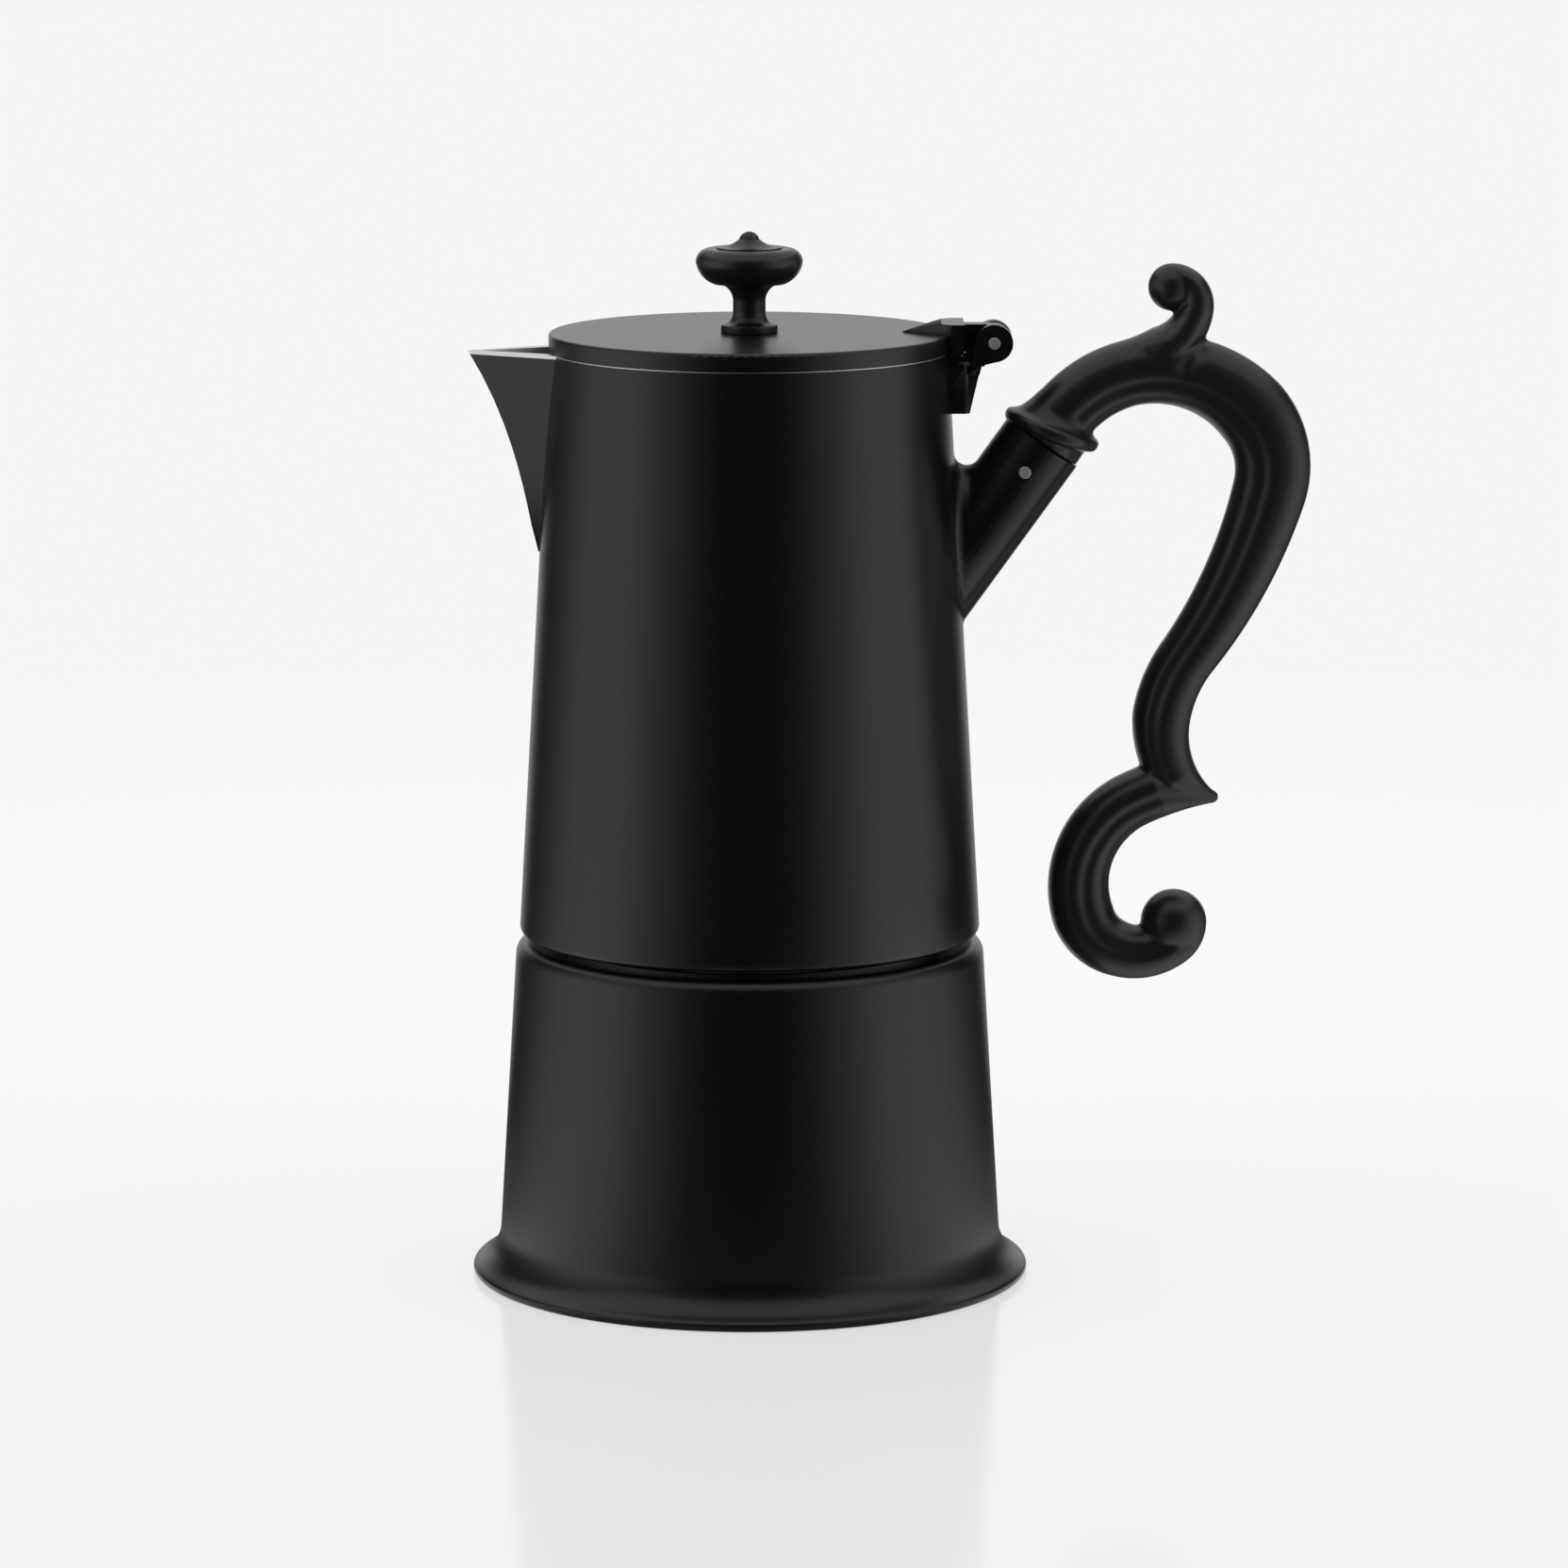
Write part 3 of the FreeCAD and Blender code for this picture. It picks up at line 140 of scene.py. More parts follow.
def new_piece(name, work):
    """A mesh object from a finished bmesh, with its normals outwards."""
    bmesh.ops.remove_doubles(work, verts=work.verts, dist=1e-7)
    bmesh.ops.recalc_face_normals(work, faces=work.faces)
    mesh = bpy.data.meshes.new(name)
    work.to_mesh(mesh)
    work.free()
    piece = bpy.data.objects.new(name, mesh)
    bpy.context.scene.collection.objects.link(piece)
    return piece


def smooth(piece, sharp_angle=32):
    """Smooth shading, with the edges that turn by more than the angle left sharp."""
    piece.data.shade_smooth()
    piece.data.set_sharp_from_angle(angle=math.radians(sharp_angle))


def lathe(name, points, steps=224):
    """Closed piece of a profile turned about Z that starts and ends on the axis."""
    work = bmesh.new()
    rings = []
    for point in points:
        count = steps if point.x > 1e-6 else 1
        turns = [2 * math.pi * step / steps for step in range(count)]
        ring = [Vector((point.x * math.cos(turn), point.x * math.sin(turn), point.y)) for turn in turns]
        rings.append([work.verts.new(spot * MM) for spot in ring])
    for low, high in zip(rings, rings[1:]):
        for step in range(steps):
            after = (step + 1) % steps
            corners = [low[step % len(low)], low[after % len(low)],
                       high[after % len(high)], high[step % len(high)]]
            work.faces.new(list(dict.fromkeys(corners)))
    return new_piece(name, work)


WALL_FOOT = 9
WALL_TAPER = 0.0594
MID_WALL_RADIUS = 45.4
BARE_FLOOR = 3.9
BARE_CEILING = 62
BARE_NECK = 64.3

boiler = lathe("boiler", profile([
    (0, 0), (51.5, 0, 1.0, 1), (52.14, 1.77, 8.0, -1), (47.2, WALL_FOOT), (44.1, 61.2, 2.6, 1), (41.5, 63.8),
    (36.4, 63.8, 0.2, -1), (36.2, 64.0), (36.2, 73.1, 0.4, 1), (35.8, 73.5), (32.8, 73.5, 0.4, 1),
    (32.4, 73.1), (32.4, 60.2), (40.9, 56.6), (44, 8.5, 4.5, -1), (39.5, 4), (0, 4)]))
smooth(boiler)
boiler.data.materials.append(black_coat)
boiler.data.materials.append(bare_aluminium)
for face in boiler.data.polygons:
    middle = face.center / MM
    mid_wall = MID_WALL_RADIUS - WALL_TAPER * (middle.z - WALL_FOOT)
    inside = BARE_FLOOR < middle.z < BARE_CEILING and middle.xy.length < mid_wall
    face.material_index = int(inside or middle.z > BARE_NECK)
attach(boiler, "boiler")
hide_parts("boiler")

# Valve boss: a flat round seat on the far side of the boiler, of one piece with its aluminium wall and coated
# with it. The safety valve's washer is pressed against its face.

VALVE_HEIGHT = 36
BOSS_RADIUS = 8.5
BOSS_ROOT = 43.2
BOSS_FACE = 46.6
BOSS_ROUND = 0.3

valve_boss = lathe("valve_boss", profile([
    (0, BOSS_ROOT), (BOSS_RADIUS, BOSS_ROOT), (BOSS_RADIUS, BOSS_FACE - BOSS_ROUND, BOSS_ROUND, 1),
    (BOSS_RADIUS - BOSS_ROUND, BOSS_FACE), (0, BOSS_FACE)]), 96)
facing_back = Matrix.Rotation(-math.pi / 2, 4, "X")
valve_boss.data.transform(Matrix.Translation((0, 0, VALVE_HEIGHT * MM)) @ facing_back)
smooth(valve_boss)
valve_boss.data.materials.append(black_coat)
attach(valve_boss, "boiler")

# Screw thread: a rounded ridge that is rolled round the bare neck of the boiler, three turns at 2.5 mm.
# The jug's foot has the matching ridge inside, half a turn's rise away from it.

THREAD_LEAD = 2.5
THREAD_TURNS = 3
THREAD_RIDGE = 0.55


def thread_tree(name):
    """Geometry Nodes group: a ridge swept along a rising spiral."""
    tree = bpy.data.node_groups.new(name, "GeometryNodeTree")
    for label in ("Radius", "Foot", "Turns", "Lead", "Ridge"):
        tree.interface.new_socket(label, in_out="INPUT", socket_type="NodeSocketFloat")
    tree.interface.new_socket("Finish", in_out="INPUT", socket_type="NodeSocketMaterial")
    tree.interface.new_socket("Geometry", in_out="OUTPUT", socket_type="NodeSocketGeometry")
    nodes = tree.nodes
    links = tree.links
    given = nodes.new("NodeGroupInput")
    rise = nodes.new("ShaderNodeMath")
    rise.operation = "MULTIPLY"
    links.new(given.outputs["Turns"], rise.inputs[0])
    links.new(given.outputs["Lead"], rise.inputs[1])
    path = nodes.new("GeometryNodeCurveSpiral")
    path.inputs["Resolution"].default_value = 96
    links.new(given.outputs["Turns"], path.inputs["Rotations"])
    links.new(given.outputs["Radius"], path.inputs["Start Radius"])
    links.new(given.outputs["Radius"], path.inputs["End Radius"])
    links.new(rise.outputs[0], path.inputs["Height"])
    ridge = nodes.new("GeometryNodeCurvePrimitiveCircle")
    ridge.inputs["Resolution"].default_value = 8
    links.new(given.outputs["Ridge"], ridge.inputs["Radius"])
    sweep = nodes.new("GeometryNodeCurveToMesh")
    sweep.inputs["Fill Caps"].default_value = True
    links.new(path.outputs["Curve"], sweep.inputs["Curve"])
    links.new(ridge.outputs["Curve"], sweep.inputs["Profile Curve"])
    lift = nodes.new("ShaderNodeCombineXYZ")
    links.new(given.outputs["Foot"], lift.inputs["Z"])
    place = nodes.new("GeometryNodeTransform")
    links.new(sweep.outputs["Mesh"], place.inputs["Geometry"])
    links.new(lift.outputs["Vector"], place.inputs["Translation"])
    real = nodes.new("GeometryNodeRealizeInstances")
    links.new(place.outputs["Geometry"], real.inputs["Geometry"])
    dress = nodes.new("GeometryNodeSetMaterial")
    links.new(real.outputs["Geometry"], dress.inputs["Geometry"])
    links.new(given.outputs["Finish"], dress.inputs["Material"])
    result = nodes.new("NodeGroupOutput")
    links.new(dress.outputs["Geometry"], result.inputs["Geometry"])
    return tree


def grown(name, tree, values):
    """Plain mesh piece made by a Geometry Nodes group with these named inputs."""
    seed = bpy.data.objects.new(f"{name} seed", bpy.data.meshes.new(f"{name} seed"))
    bpy.context.scene.collection.objects.link(seed)
    modifier = seed.modifiers.new(name, "NODES")
    modifier.node_group = tree
    for item in tree.interface.items_tree:
        if item.in_out == "INPUT":
            modifier[item.identifier] = values[item.name]
    seen = bpy.context.evaluated_depsgraph_get()
    mesh = bpy.data.meshes.new_from_object(seed.evaluated_get(seen))
    bpy.data.objects.remove(seed)
    piece = bpy.data.objects.new(name, mesh)
    bpy.context.scene.collection.objects.link(piece)
    return piece


spiral_ridge = thread_tree("spiral ridge")
neck_thread = grown("neck_thread", spiral_ridge, {
    "Radius": 36.2 * MM, "Foot": 65.3 * MM, "Turns": THREAD_TURNS, "Lead": THREAD_LEAD * MM,
    "Ridge": THREAD_RIDGE * MM, "Finish": bare_aluminium})
smooth(neck_thread, 60)
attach(neck_thread, "boiler")
foot_thread = grown("foot_thread", spiral_ridge, {
    "Radius": 37.65 * MM, "Foot": 66.55 * MM, "Turns": 2.6, "Lead": THREAD_LEAD * MM,
    "Ridge": THREAD_RIDGE * MM, "Finish": bare_aluminium})
smooth(foot_thread, 60)
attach(foot_thread, "collector")

# Safety valve: a turned brass hexagon screwed through the boiler's wall on a washer, with a stem behind its
# cap and a steel spring that is pressed together, towards the cap, when the stem lifts off its seat.


def plain_metal(name, colour, roughness):
    """Bright metal with the faint unevenness of drawn or turned stock."""
    material = coating(name, colour, roughness, 0.7, 0.02)
    material.node_tree.nodes["Principled BSDF"].inputs["Metallic"].default_value = 1
    return material


def finish_solid(node, material):
    """Give a solid that is shown as it is its real finish."""
    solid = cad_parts[node]
    solid.data.materials.clear()
    solid.data.materials.append(material)


def copy_of_solid(name, node, cuts=()):
    """A merged copy of a solid, to be dressed as a piece of its own; cuts are heights to divide it at."""
    work = bmesh.new()
    work.from_mesh(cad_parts[node].data)
    bmesh.ops.remove_doubles(work, verts=work.verts, dist=1e-6)
    for cut in cuts:
        bmesh.ops.bisect_plane(work, geom=[*work.verts, *work.edges, *work.faces],
                               plane_co=(0, 0, cut * MM), plane_no=(0, 0, 1))
    mesh = bpy.data.meshes.new(name)
    work.to_mesh(mesh)
    work.free()
    piece = bpy.data.objects.new(name, mesh)
    bpy.context.scene.collection.objects.link(piece)
    return piece


brass = plain_metal("turned brass", (0.72, 0.52, 0.22), 0.26)
steel = plain_metal("plain steel", (0.72, 0.72, 0.7), 0.55)
rubber = coating("pale sealing rubber", (0.62, 0.6, 0.54), 0.62, 0.8, 0.04)
for node in ("valve_body", "valve_cap", "valve_stem"):
    finish_solid(node, brass)
for node in ("valve_washer", "valve_seal"):
    finish_solid(node, rubber)

coil = copy_of_solid("valve_coil", "valve_spring")
smooth(coil, 40)
coil.data.materials.append(steel)
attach(coil, "boiler")
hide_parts("valve_spring")
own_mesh(coil)

# Funnel and sieves: drawn aluminium, dropped into the boiler's neck; the pale rubber ring and the upper
# sieve are pressed into the jug's foot above it.

for node in ("funnel", "funnel_plate", "filter_plate"):
    finish_solid(node, bare_aluminium)
finish_solid("gasket", rubber)

# Jug: the upper vessel, one aluminium casting with its spout, slanted handle socket and hinge bracket, which
# a small rib stiffens, coated satin black outside. Its rim, its inside and the edge of the spout are bare and
# bright, and the bare column is pressed into its floor.


def true_normals(piece, sharp_angle, true_normal):
    """Smooth shading that is exact on the faces for which true_normal gives a normal at each corner."""
    mesh = piece.data
    corners = {}
    for face in mesh.polygons:
        normals = [true_normal(mesh.vertices[corner].co / MM, face.normal) for corner in face.vertices]
        if None not in normals:
            corners[face.index] = normals
    smooth(piece, sharp_angle)
    beside = {}
    for face in mesh.polygons:
        for key in face.edge_keys:
            beside.setdefault(key, []).append(face.index in corners)
    for edge in mesh.edges:
        if len(set(beside[edge.key])) == 2:
            edge.use_edge_sharp = True
    shown = [Vector(corner.vector) for corner in mesh.corner_normals]
    for face in mesh.polygons:
        for loop, normal in zip(face.loop_indices, corners.get(face.index, ())):
            shown[loop] = normal
    mesh.normals_split_custom_set(shown)


RIM_HEIGHT = 175.1
RIM_RADIUS = 37.1
JUG_TAPER = 6.2 / 109.9
JUG_FLOOR = 66
BARE_EDGE = 0.14
SPOUT_EDGE = 0.6
SPOUT_FOOT = 135.0
SPOUT_CUTS = (138.2, 140, 142.5, 146)
HOLLOW_START = 0.05
HOLLOW_EASE = 0.12
BARE_SPOUT = 140
CAST_CREASE = 16


def jug_wall_radius(height):
    """The outside radius of the jug's tapered wall."""
    return RIM_RADIUS + JUG_TAPER * (RIM_HEIGHT - height)


def jug_wall_normal(point, facing):
    """The outward normal of the tapered wall, where a point lies on it."""
    off_wall = point.xy.length - jug_wall_radius(point.z)
    outward = Vector((point.x, point.y, JUG_TAPER * point.xy.length)).normalized()
    if abs(off_wall) < 0.03 and facing.dot(outward) > 0.98:
        return outward
    return None


def spout_hollow(share):
    """How much further out the spout's edge stands than in the solid, at a share of its height."""
    onset = min(1, (share - HOLLOW_START) / HOLLOW_EASE)
    return ((0.62 * share + 0.38 * share ** 3) / share ** 1.45 - 1) * onset


jug = copy_of_solid("jug", "collector", (RIM_HEIGHT - BARE_EDGE, RIM_HEIGHT - SPOUT_EDGE, *SPOUT_CUTS))
for vertex in jug.data.vertices:
    share = (vertex.co.z / MM - SPOUT_FOOT) / (RIM_HEIGHT - SPOUT_FOOT)
    wall = -jug_wall_radius(vertex.co.z / MM)
    throw = vertex.co.x / MM - wall
    if share > HOLLOW_START and throw < 0:
        vertex.co.x = (wall + throw * (1 + spout_hollow(share))) * MM
true_normals(jug, CAST_CREASE, jug_wall_normal)
jug.data.materials.append(black_coat)
jug.data.materials.append(bare_aluminium)
for face in jug.data.polygons:
    middle = face.center / MM
    inside = middle.xy.length < jug_wall_radius(middle.z) - 1 and middle.z > JUG_FLOOR
    edge = SPOUT_EDGE if middle.x < -RIM_RADIUS + 1.5 else BARE_EDGE
    on_rim = middle.z > RIM_HEIGHT - edge and middle.x < RIM_RADIUS
    faces_in = face.normal.y * middle.y < -1e-3 or face.normal.x > 0.5
    in_spout = middle.x < -RIM_RADIUS + 2 and middle.z > BARE_SPOUT and faces_in
    face.material_index = int(inside or on_rim or in_spout)
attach(jug, "collector")
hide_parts("collector")
finish_solid("riser_column", bare_aluminium)


def cast_block(name, low, high, round_edge=0.2):
    """A small block of the casting with rounded edges."""
    work = bmesh.new()
    bmesh.ops.create_cube(work, size=1)
    for vertex in work.verts:
        vertex.co = Vector(MM * (near if side < 0 else far) for side, near, far in zip(vertex.co, low, high))
    bmesh.ops.bevel(work, geom=work.edges[:], offset=round_edge * MM, segments=3, affect="EDGES",
                    profile=0.5)
    piece = new_piece(name, work)
    smooth(piece, 40)
    piece.data.materials.append(black_coat)
    return piece


hinge_rib = cast_block("hinge_rib", (36.6, -1.9, 172.6), (37.5, 0.2, 175.1))
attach(hinge_rib, "collector")

# Hinge pin and handle pin: plain steel wire, cut to length, with bare ends that show. One is pressed into the
# jug's two hinge ears, the other across the socket and the handle's tang.

for node in ("hinge_pin", "handle_pin"):
    finish_solid(node, steel)

# Lid: a flat cast aluminium disc with a hinge leaf that runs up to its knuckle, coated black outside and bare
# underneath. It turns on the hinge pin, and a small web of the casting joins the leaf's lug to the disc.

LID_SEAT = 175.2
LID_TOP = 178.5
LID_RADIUS = 37.4
LID_ROUND = 0.6
LID_UNDERSIDE = 176.5
SKIRT_RADIUS = 34.2


def lid_disc_normal(point, facing):
    """The outward normal of the disc's top, rounded edge or side, where a point lies on one of them."""
    reach = max(point.xy.length, 1e-6)
    core = Vector((min(reach, LID_RADIUS - LID_ROUND), min(point.z, LID_TOP - LID_ROUND)))
    off_core = Vector((reach, point.z)) - core
    if point.z < LID_SEAT - 0.01 or abs(off_core.length - LID_ROUND) > 0.02:
        return None
    sideways = off_core.x / reach
    outward = Vector((point.x * sideways, point.y * sideways, off_core.y)).normalized()
    return outward if facing.dot(outward) > 0.9 else None


lid = copy_of_solid("lid", "lid")
true_normals(lid, CAST_CREASE, lid_disc_normal)
lid.data.materials.append(black_coat)
lid.data.materials.append(bare_aluminium)
for face in lid.data.polygons:
    middle = face.center / MM
    face.material_index = int(middle.z < LID_UNDERSIDE and middle.xy.length < SKIRT_RADIUS)
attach(lid, "lid")
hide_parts("lid")

hinge_web = cast_block("hinge_web", (37.3, 0.3, 174.27), (40.1, 1.9, 176.6), 0.05)
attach(hinge_web, "lid")

# Knob: a round moulding of black plastic with a waist, a broad bulb and a small tip, as if turned. A steel
# screw with a washer holds it from inside the lid.

black_plastic = coating("satin black plastic", (0.011, 0.011, 0.0115), 0.33, 0.3, 0.02)
knob = lathe("knob", [point + Vector((0, LID_TOP)) for point in profile([
    (0, 0), (5.1, 0, 0.2, 1), (5.3, 0.2), (5.3, 1.2, 0.3, 1), (5.0, 1.5), (3.8, 1.95, 3.0, -1), (3.05, 4.05),
    (3.05, 5.7, 3.3, -1), (6.1, 9.15), (6.85, 9.15, 5.1, 1), (10.0, 13.2, 2.55, 1), (6.85, 15.6),
    (6.25, 15.6, 0.15, -1), (6.1, 15.75), (6.1, 15.9, 6.0, -1), (1.87, 17.4, 1.95, 1), (0, 18.8)])], 128)
smooth(knob, 30)
knob.data.materials.append(black_plastic)
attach(knob, "lid")
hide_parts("knob")
for node in ("knob_screw", "knob_washer"):
    finish_solid(node, steel)

# Handle: one black plastic moulding. A tang in the jug's socket, a lipped collar, an arch and an arm that
# ends in a spur, a lower scroll and a curled leaf on top; a valley runs along each side between two lobes.

HALF_THICKNESS = 6.3
SECTION_POINTS = 48
VOXEL = 0.4
VALLEY_DEPTH = 0.075
VALLEY_WIDTH = 0.15
LOBE_STEP = 0.07
CENTRE_LINE = 0
LEFT_EDGE = 1
RIGHT_EDGE = -1


def flat(across, up):
    """A point of the handle's middle plane."""
    return Vector((across, 0, up))


def left_of(heading):
    """The direction to the left of a heading in degrees, in the handle's middle plane."""
    angle = math.radians(heading)
    return flat(-math.sin(angle), math.cos(angle))


def walk(stations, radius, turn, half_width, follow=CENTRE_LINE):
    """Add stations along an arc, followed by the limb's centre line or by one of its edges."""
    centre, heading, first_width = stations[-1]
    begin = centre + left_of(heading) * follow * first_width
    reach = math.copysign(radius, turn)
    hub = begin + left_of(heading) * reach
    steps = max(4, round(abs(turn) / 4), round(radius * math.radians(abs(turn)) / 1.2))
    for step in range(1, steps + 1):
        way = heading + turn * step / steps
        width = first_width + (half_width - first_width) * step / steps
        stations.append((hub - left_of(way) * (reach + follow * width), way, width))


def limb_rings(stations, valley, inner=1, fullness=1.15):
    """Section outlines of a limb; valley is where its groove lies, from -1 at the right edge to 1, or None.

    The lobe on the inner side, 1 for the left and -1 for the right, is a little lower.
    """
    rings = []
    for centre, heading, width in stations:
        depth = min(HALF_THICKNESS, width * fullness)
        ring = []
        for step in range(SECTION_POINTS):
            turn = 2 * math.pi * step / SECTION_POINTS
            across = math.cos(turn)
            out = (1 - abs(across) ** 2.5) ** 0.5
            if valley is not None:
                past = (across - valley) / VALLEY_WIDTH
                out -= VALLEY_DEPTH * math.exp(-past ** 2)
                out -= LOBE_STEP * (1 + math.tanh(past * inner)) / 2 * (1 - abs(across)) ** 0.5
            side = Vector((0, math.copysign(out * depth, math.sin(turn)), 0))
            ring.append(centre + left_of(heading) * across * width + side)
        rings.append(ring)
    return rings


def circle(centre, axis, radius, steps=64):
    """Points of a circle that is square to an axis in the handle's middle plane."""
    side = Vector((0, 1, 0))
    up = axis.cross(side).normalized()
    turns = [2 * math.pi * step / steps for step in range(steps)]
    return [centre + (side * math.cos(turn) + up * math.sin(turn)) * radius for turn in turns]


def add_tube(work, rings):
    """Closed skin over rings of equal count."""
    made = [[work.verts.new(point * MM) for point in ring] for ring in rings]
    for low, high in zip(made, made[1:]):
        for step in range(len(low)):
            after = (step + 1) % len(low)
            work.faces.new((low[step], low[after], high[after], high[step]))
    work.faces.new(reversed(made[0]))
    work.faces.new(made[-1])


def add_ball(work, stations, radius):
    """Round terminal inside the right edge of a limb's end."""
    centre, heading, width = stations[-1]
    middle = centre + left_of(heading) * (radius - width)
    bmesh.ops.create_uvsphere(work, u_segments=48, v_segments=32, radius=radius * MM,
                              matrix=Matrix.Translation(middle * MM))


SOCKET_END = flat(54.7, 158.0)
SOCKET_ANGLE = 54.3
COLLAR_ANGLE = 69.4
COLLAR_ALONG = 2.9
ARM_ALONG = 4.9
TANG_RADIUS = 5.0
PLUG_RADIUS = 7.6
socket_axis = -left_of(SOCKET_ANGLE + 90)
collar_axis = -left_of(COLLAR_ANGLE + 90)
collar_centre = SOCKET_END + socket_axis * COLLAR_ALONG

arm = [(SOCKET_END + socket_axis * ARM_ALONG, 51.0, 6.2)]
walk(arm, 31.0, -11.0, 6.2)
walk(arm, 22.9, -25.0, 6.2)
leaf_place, leaf_heading, arch_half_width = arm[-1]
walk(arm, 22.9, -64.5, 7.3)
walk(arm, 16.2, -55.7, 7.0)
walk(arm, 95.0, -21.0, 5.5)
walk(arm, 26.8, 27.6, 5.5)
walk(arm, 14.9, 34.0, 4.7, LEFT_EDGE)
walk(arm, 14.9, 23.4, 1.1, LEFT_EDGE)
scroll = [(arm[-1][0], 190.2, 1.1)]
walk(scroll, 49.0, 10.5, 5.3, LEFT_EDGE)
walk(scroll, 49.0, 5.0, 5.3, LEFT_EDGE)
walk(scroll, 18.2, 84.0, 5.9)
walk(scroll, 9.6, 54.0, 5.3)
walk(scroll, 16.5, 54.0, 4.6, RIGHT_EDGE)
walk(scroll, 9.3, 52.5, 2.3, RIGHT_EDGE)
leaf = [(leaf_place + left_of(leaf_heading) * (arch_half_width - 2.5), leaf_heading, 2.5)]
walk(leaf, 26.0, 15.0, 4.3, LEFT_EDGE)
walk(leaf, 14.1, 54.0, 3.4, RIGHT_EDGE)
walk(leaf, 7.9, 96.0, 2.2, RIGHT_EDGE)

work = bmesh.new()
add_tube(work, limb_rings(arm, -0.28, -1))
add_tube(work, limb_rings(scroll, 0.14, 1))
add_tube(work, limb_rings(leaf, None, fullness=1.5))
add_ball(work, scroll, 6.25)
add_ball(work, leaf, 4.45)
add_ball(work, arm, 1.25)
add_tube(work, [circle(collar_centre + socket_axis * along, socket_axis, TANG_RADIUS)
                for along in (-19.6, 1.0)])
add_tube(work, [circle(SOCKET_END + socket_axis * 0.1, socket_axis, PLUG_RADIUS),
                circle(collar_centre, collar_axis, PLUG_RADIUS)])
lip = [(-1.4, 8.1), (-1.15, 8.8), (-0.6, 9.2), (0.5, 9.25), (1.05, 8.9), (1.3, 8.2)]
collar = [circle(collar_centre + collar_axis * along, collar_axis, radius) for along, radius in lip]
for along, radius in ((0.4, 7.6), (1.0, 7.1), (1.8, 6.6), (2.6, 6.3), (3.2, 6.2)):
    lean = collar_axis.lerp(socket_axis, along / 3.5).normalized()
    collar.append(circle(collar_centre + socket_axis * (lip[-1][0] + along), lean, radius))
add_tube(work, collar)
blank = new_piece("handle blank", work)
fuse = blank.modifiers.new("fuse", "REMESH")
fuse.mode = "VOXEL"
fuse.voxel_size = VOXEL * MM
soften = blank.modifiers.new("soften", "SMOOTH")
soften.factor = 0.5
soften.iterations = 6
seen = bpy.context.evaluated_depsgraph_get()
handle = bpy.data.objects.new("handle", bpy.data.meshes.new_from_object(blank.evaluated_get(seen)))
bpy.context.scene.collection.objects.link(handle)
bpy.data.objects.remove(blank)

CREASE = [flat(79.2, 171.0), flat(81.2, 172.7), flat(83.0, 174.9), flat(84.6, 177.4), flat(85.6, 180.0)]
CREASE_WIDTH = 1.6
CREASE_SINK = 0.12
CREASE_REACH = 12


def crease_share(spot):
    """How far a spot lies in the crease beside the leaf's root, from 0 to 1; it runs out at its lower end."""
    share = 0
    for first, second in zip(CREASE, CREASE[1:]):
        run = second - first
        along = min(max((spot - first).dot(run) / run.length_squared, 0), 1)
        fade = along if first is CREASE[0] else 1
        gap = (spot - first - run * along).length
        share = max(share, fade * math.exp(-(gap / CREASE_WIDTH) ** 2))
    return share


for vertex in handle.data.vertices:
    spot = flat(vertex.co.x / MM, vertex.co.z / MM)
    if (spot - CREASE[2]).length < CREASE_REACH:
        vertex.co.y *= 1 - CREASE_SINK * crease_share(spot)
handle.data.shade_smooth()
handle.data.materials.append(black_plastic)
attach(handle, "collector")
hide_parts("handle")

# Studio: a pale, slightly glossy floor that runs on into white, soft light from both sides and overhead, a
# white wall behind, darkness on the camera's side, and the camera where the photograph was taken from.

WHITE = 0.92
DARK = 0.005
SIDE_LIGHT_X = 0.974
SIDE_LIGHT_Y = -0.225
SIDE_LIGHT_FOCUS = 5.0
WALL_EDGE = (0.82, 0.97)
FLOOR_REACH = 9.0


def eased(tree, value, start, end, low=0.0, high=1.0):
    """A value eased from low to high between two limits."""
    ease = tree.nodes.new("ShaderNodeMapRange")
    ease.interpolation_type = "SMOOTHSTEP"
    for label, number in (("From Min", start), ("From Max", end), ("To Min", low), ("To Max", high)):
        ease.inputs[label].default_value = number
    tree.links.new(value, ease.inputs["Value"])
    return ease.outputs["Result"]


def reckon(tree, operation, first, second):
    """One step of arithmetic on two values, of which the second may be a number."""
    step = tree.nodes.new("ShaderNodeMath")
    step.operation = operation
    tree.links.new(first, step.inputs[0])
    if isinstance(second, float):
        step.inputs[1].default_value = second
    else:
        tree.links.new(second, step.inputs[1])
    return step.outputs[0]


def studio_glow(tree, direction):
    """Light from a direction: soft from both sides, white from behind, none from the camera's side."""
    along = tree.nodes.new("ShaderNodeSeparateXYZ")
    tree.links.new(direction, along.inputs["Vector"])
    sideways = reckon(tree, "MULTIPLY", reckon(tree, "ABSOLUTE", along.outputs["X"], 0.0), SIDE_LIGHT_X)
    forwards = reckon(tree, "MULTIPLY", along.outputs["Y"], SIDE_LIGHT_Y)
    towards = reckon(tree, "MAXIMUM", reckon(tree, "ADD", sideways, forwards), 0.0)
    glow = reckon(tree, "POWER", towards, SIDE_LIGHT_FOCUS)
    return reckon(tree, "ADD", glow, eased(tree, along.outputs["Y"], *WALL_EDGE, DARK, WHITE))


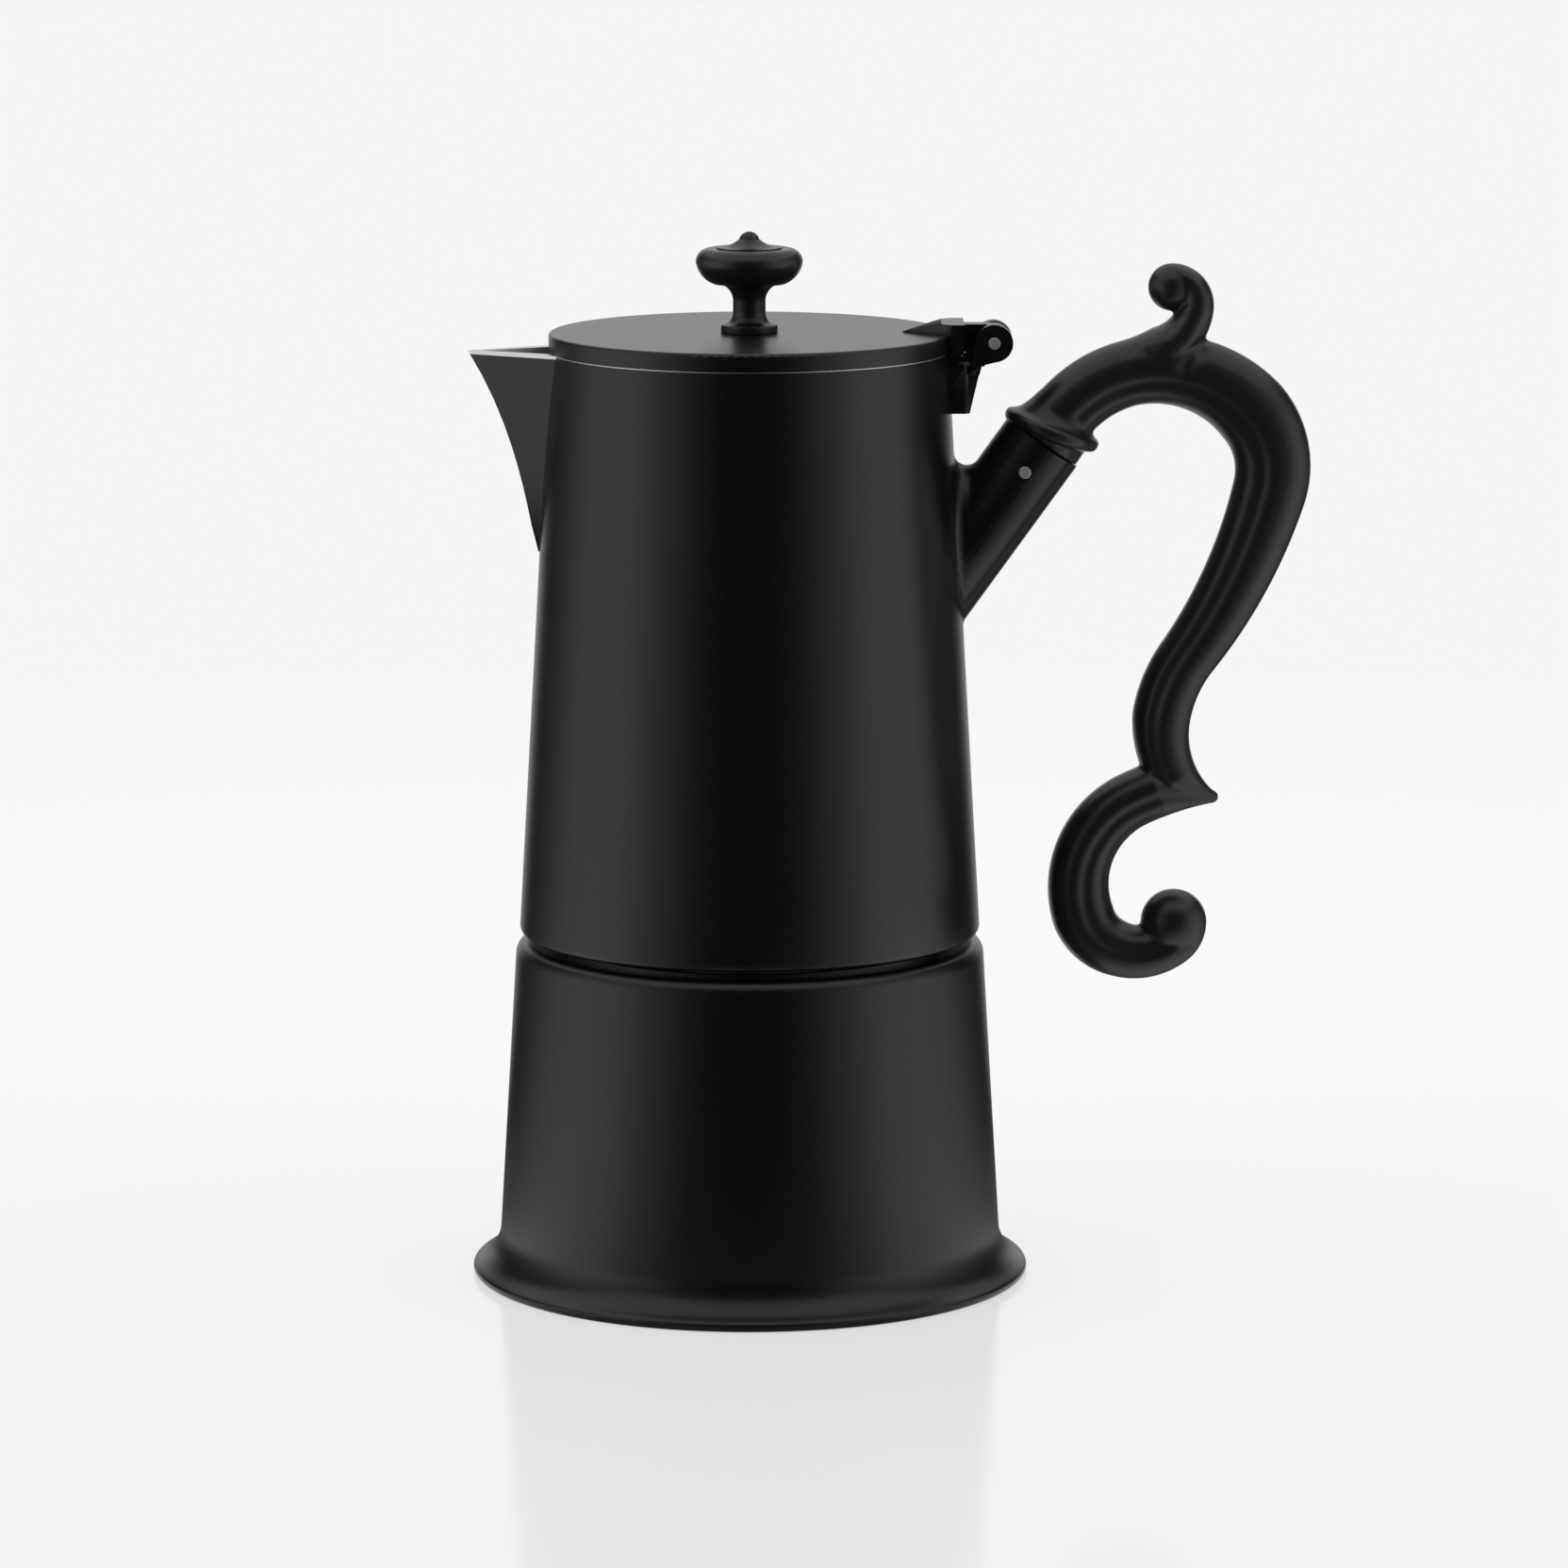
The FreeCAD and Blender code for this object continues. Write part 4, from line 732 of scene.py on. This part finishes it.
floor = bpy.data.objects.new("floor", bpy.data.meshes.new("floor"))
floor.data.from_pydata([(-FLOOR_REACH, -FLOOR_REACH, 0), (FLOOR_REACH, -FLOOR_REACH, 0),
                        (FLOOR_REACH, FLOOR_REACH, 0), (-FLOOR_REACH, FLOOR_REACH, 0)], [], [(0, 1, 2, 3)])
bpy.context.scene.collection.objects.link(floor)
paper = bpy.data.materials.new("pale studio floor")
paper.use_nodes = True
tree = paper.node_tree
sheet = tree.nodes["Principled BSDF"]
sheet.inputs["Base Color"].default_value = (0.94, 0.94, 0.94, 1)
sheet.inputs["Roughness"].default_value = 0.15
sheet.inputs["Emission Color"].default_value = (1, 1, 1, 1)
sheet.inputs["Emission Strength"].default_value = 0.29
place = tree.nodes.new("ShaderNodeTexCoord")
spread = tree.nodes.new("ShaderNodeVectorMath")
spread.operation = "LENGTH"
tree.links.new(place.outputs["Object"], spread.inputs[0])
bearing = tree.nodes.new("ShaderNodeVectorMath")
bearing.operation = "NORMALIZE"
tree.links.new(place.outputs["Object"], bearing.inputs[0])
ray = tree.nodes.new("ShaderNodeLightPath")
far = eased(tree, spread.outputs["Value"], 0.3, 0.8, 0.45, 1.0)
seen_share = reckon(tree, "MULTIPLY", ray.outputs["Is Camera Ray"], far)
# Painted light: in reflections the floor glows with the studio's light by its bearing, plus a painted glow
# near the foot that fades out by 0.25 m.
painted_glow_near_foot = eased(tree, spread.outputs["Value"], 0.05, 0.25, 0.2, 0.0)
glow = reckon(tree, "MAXIMUM", studio_glow(tree, bearing.outputs["Vector"]), painted_glow_near_foot)
level = reckon(tree, "MAXIMUM", reckon(tree, "MULTIPLY", ray.outputs["Is Camera Ray"], WHITE),
               reckon(tree, "MULTIPLY", ray.outputs["Is Glossy Ray"], glow))
white = tree.nodes.new("ShaderNodeEmission")
tree.links.new(level, white.inputs["Strength"])
blend = tree.nodes.new("ShaderNodeMixShader")
tree.links.new(reckon(tree, "MAXIMUM", seen_share, ray.outputs["Is Glossy Ray"]), blend.inputs["Fac"])
tree.links.new(sheet.outputs["BSDF"], blend.inputs[1])
tree.links.new(white.outputs["Emission"], blend.inputs[2])
tree.links.new(blend.outputs["Shader"], tree.nodes["Material Output"].inputs["Surface"])
floor.data.materials.append(paper)

lamp = bpy.data.lights.new("overhead soft box", "AREA")
lamp.shape = "SQUARE"
lamp.size = 3.0
lamp.energy = 22
box = bpy.data.objects.new("overhead soft box", lamp)
box.location = (0, 0.4, 1.3)
bpy.context.scene.collection.objects.link(box)

world = bpy.data.worlds.new("white studio")
bpy.context.scene.world = world
world.use_nodes = True
tree = world.node_tree
look = tree.nodes.new("ShaderNodeTexCoord")
lit = studio_glow(tree, look.outputs["Generated"])
ray = tree.nodes.new("ShaderNodeLightPath")
seen_wall = reckon(tree, "MULTIPLY", ray.outputs["Is Camera Ray"], WHITE)
sky = tree.nodes["Background"]
sky.inputs["Color"].default_value = (1, 1, 1, 1)
tree.links.new(reckon(tree, "MAXIMUM", lit, seen_wall), sky.inputs["Strength"])

CAMERA_PLACE = Vector((6.46, -1362.65, 325.6))
CAMERA_DIP = 9.68
camera = bpy.data.objects.new("camera", bpy.data.cameras.new("camera"))
camera.data.sensor_width = 36
camera.data.lens = 168.7
camera.data.clip_end = 50
camera.location = CAMERA_PLACE * MM
camera.rotation_euler = (math.radians(90 - CAMERA_DIP), 0, 0)
bpy.context.scene.collection.objects.link(camera)
bpy.context.scene.camera = camera
bpy.context.scene.view_settings.view_transform = "Standard"
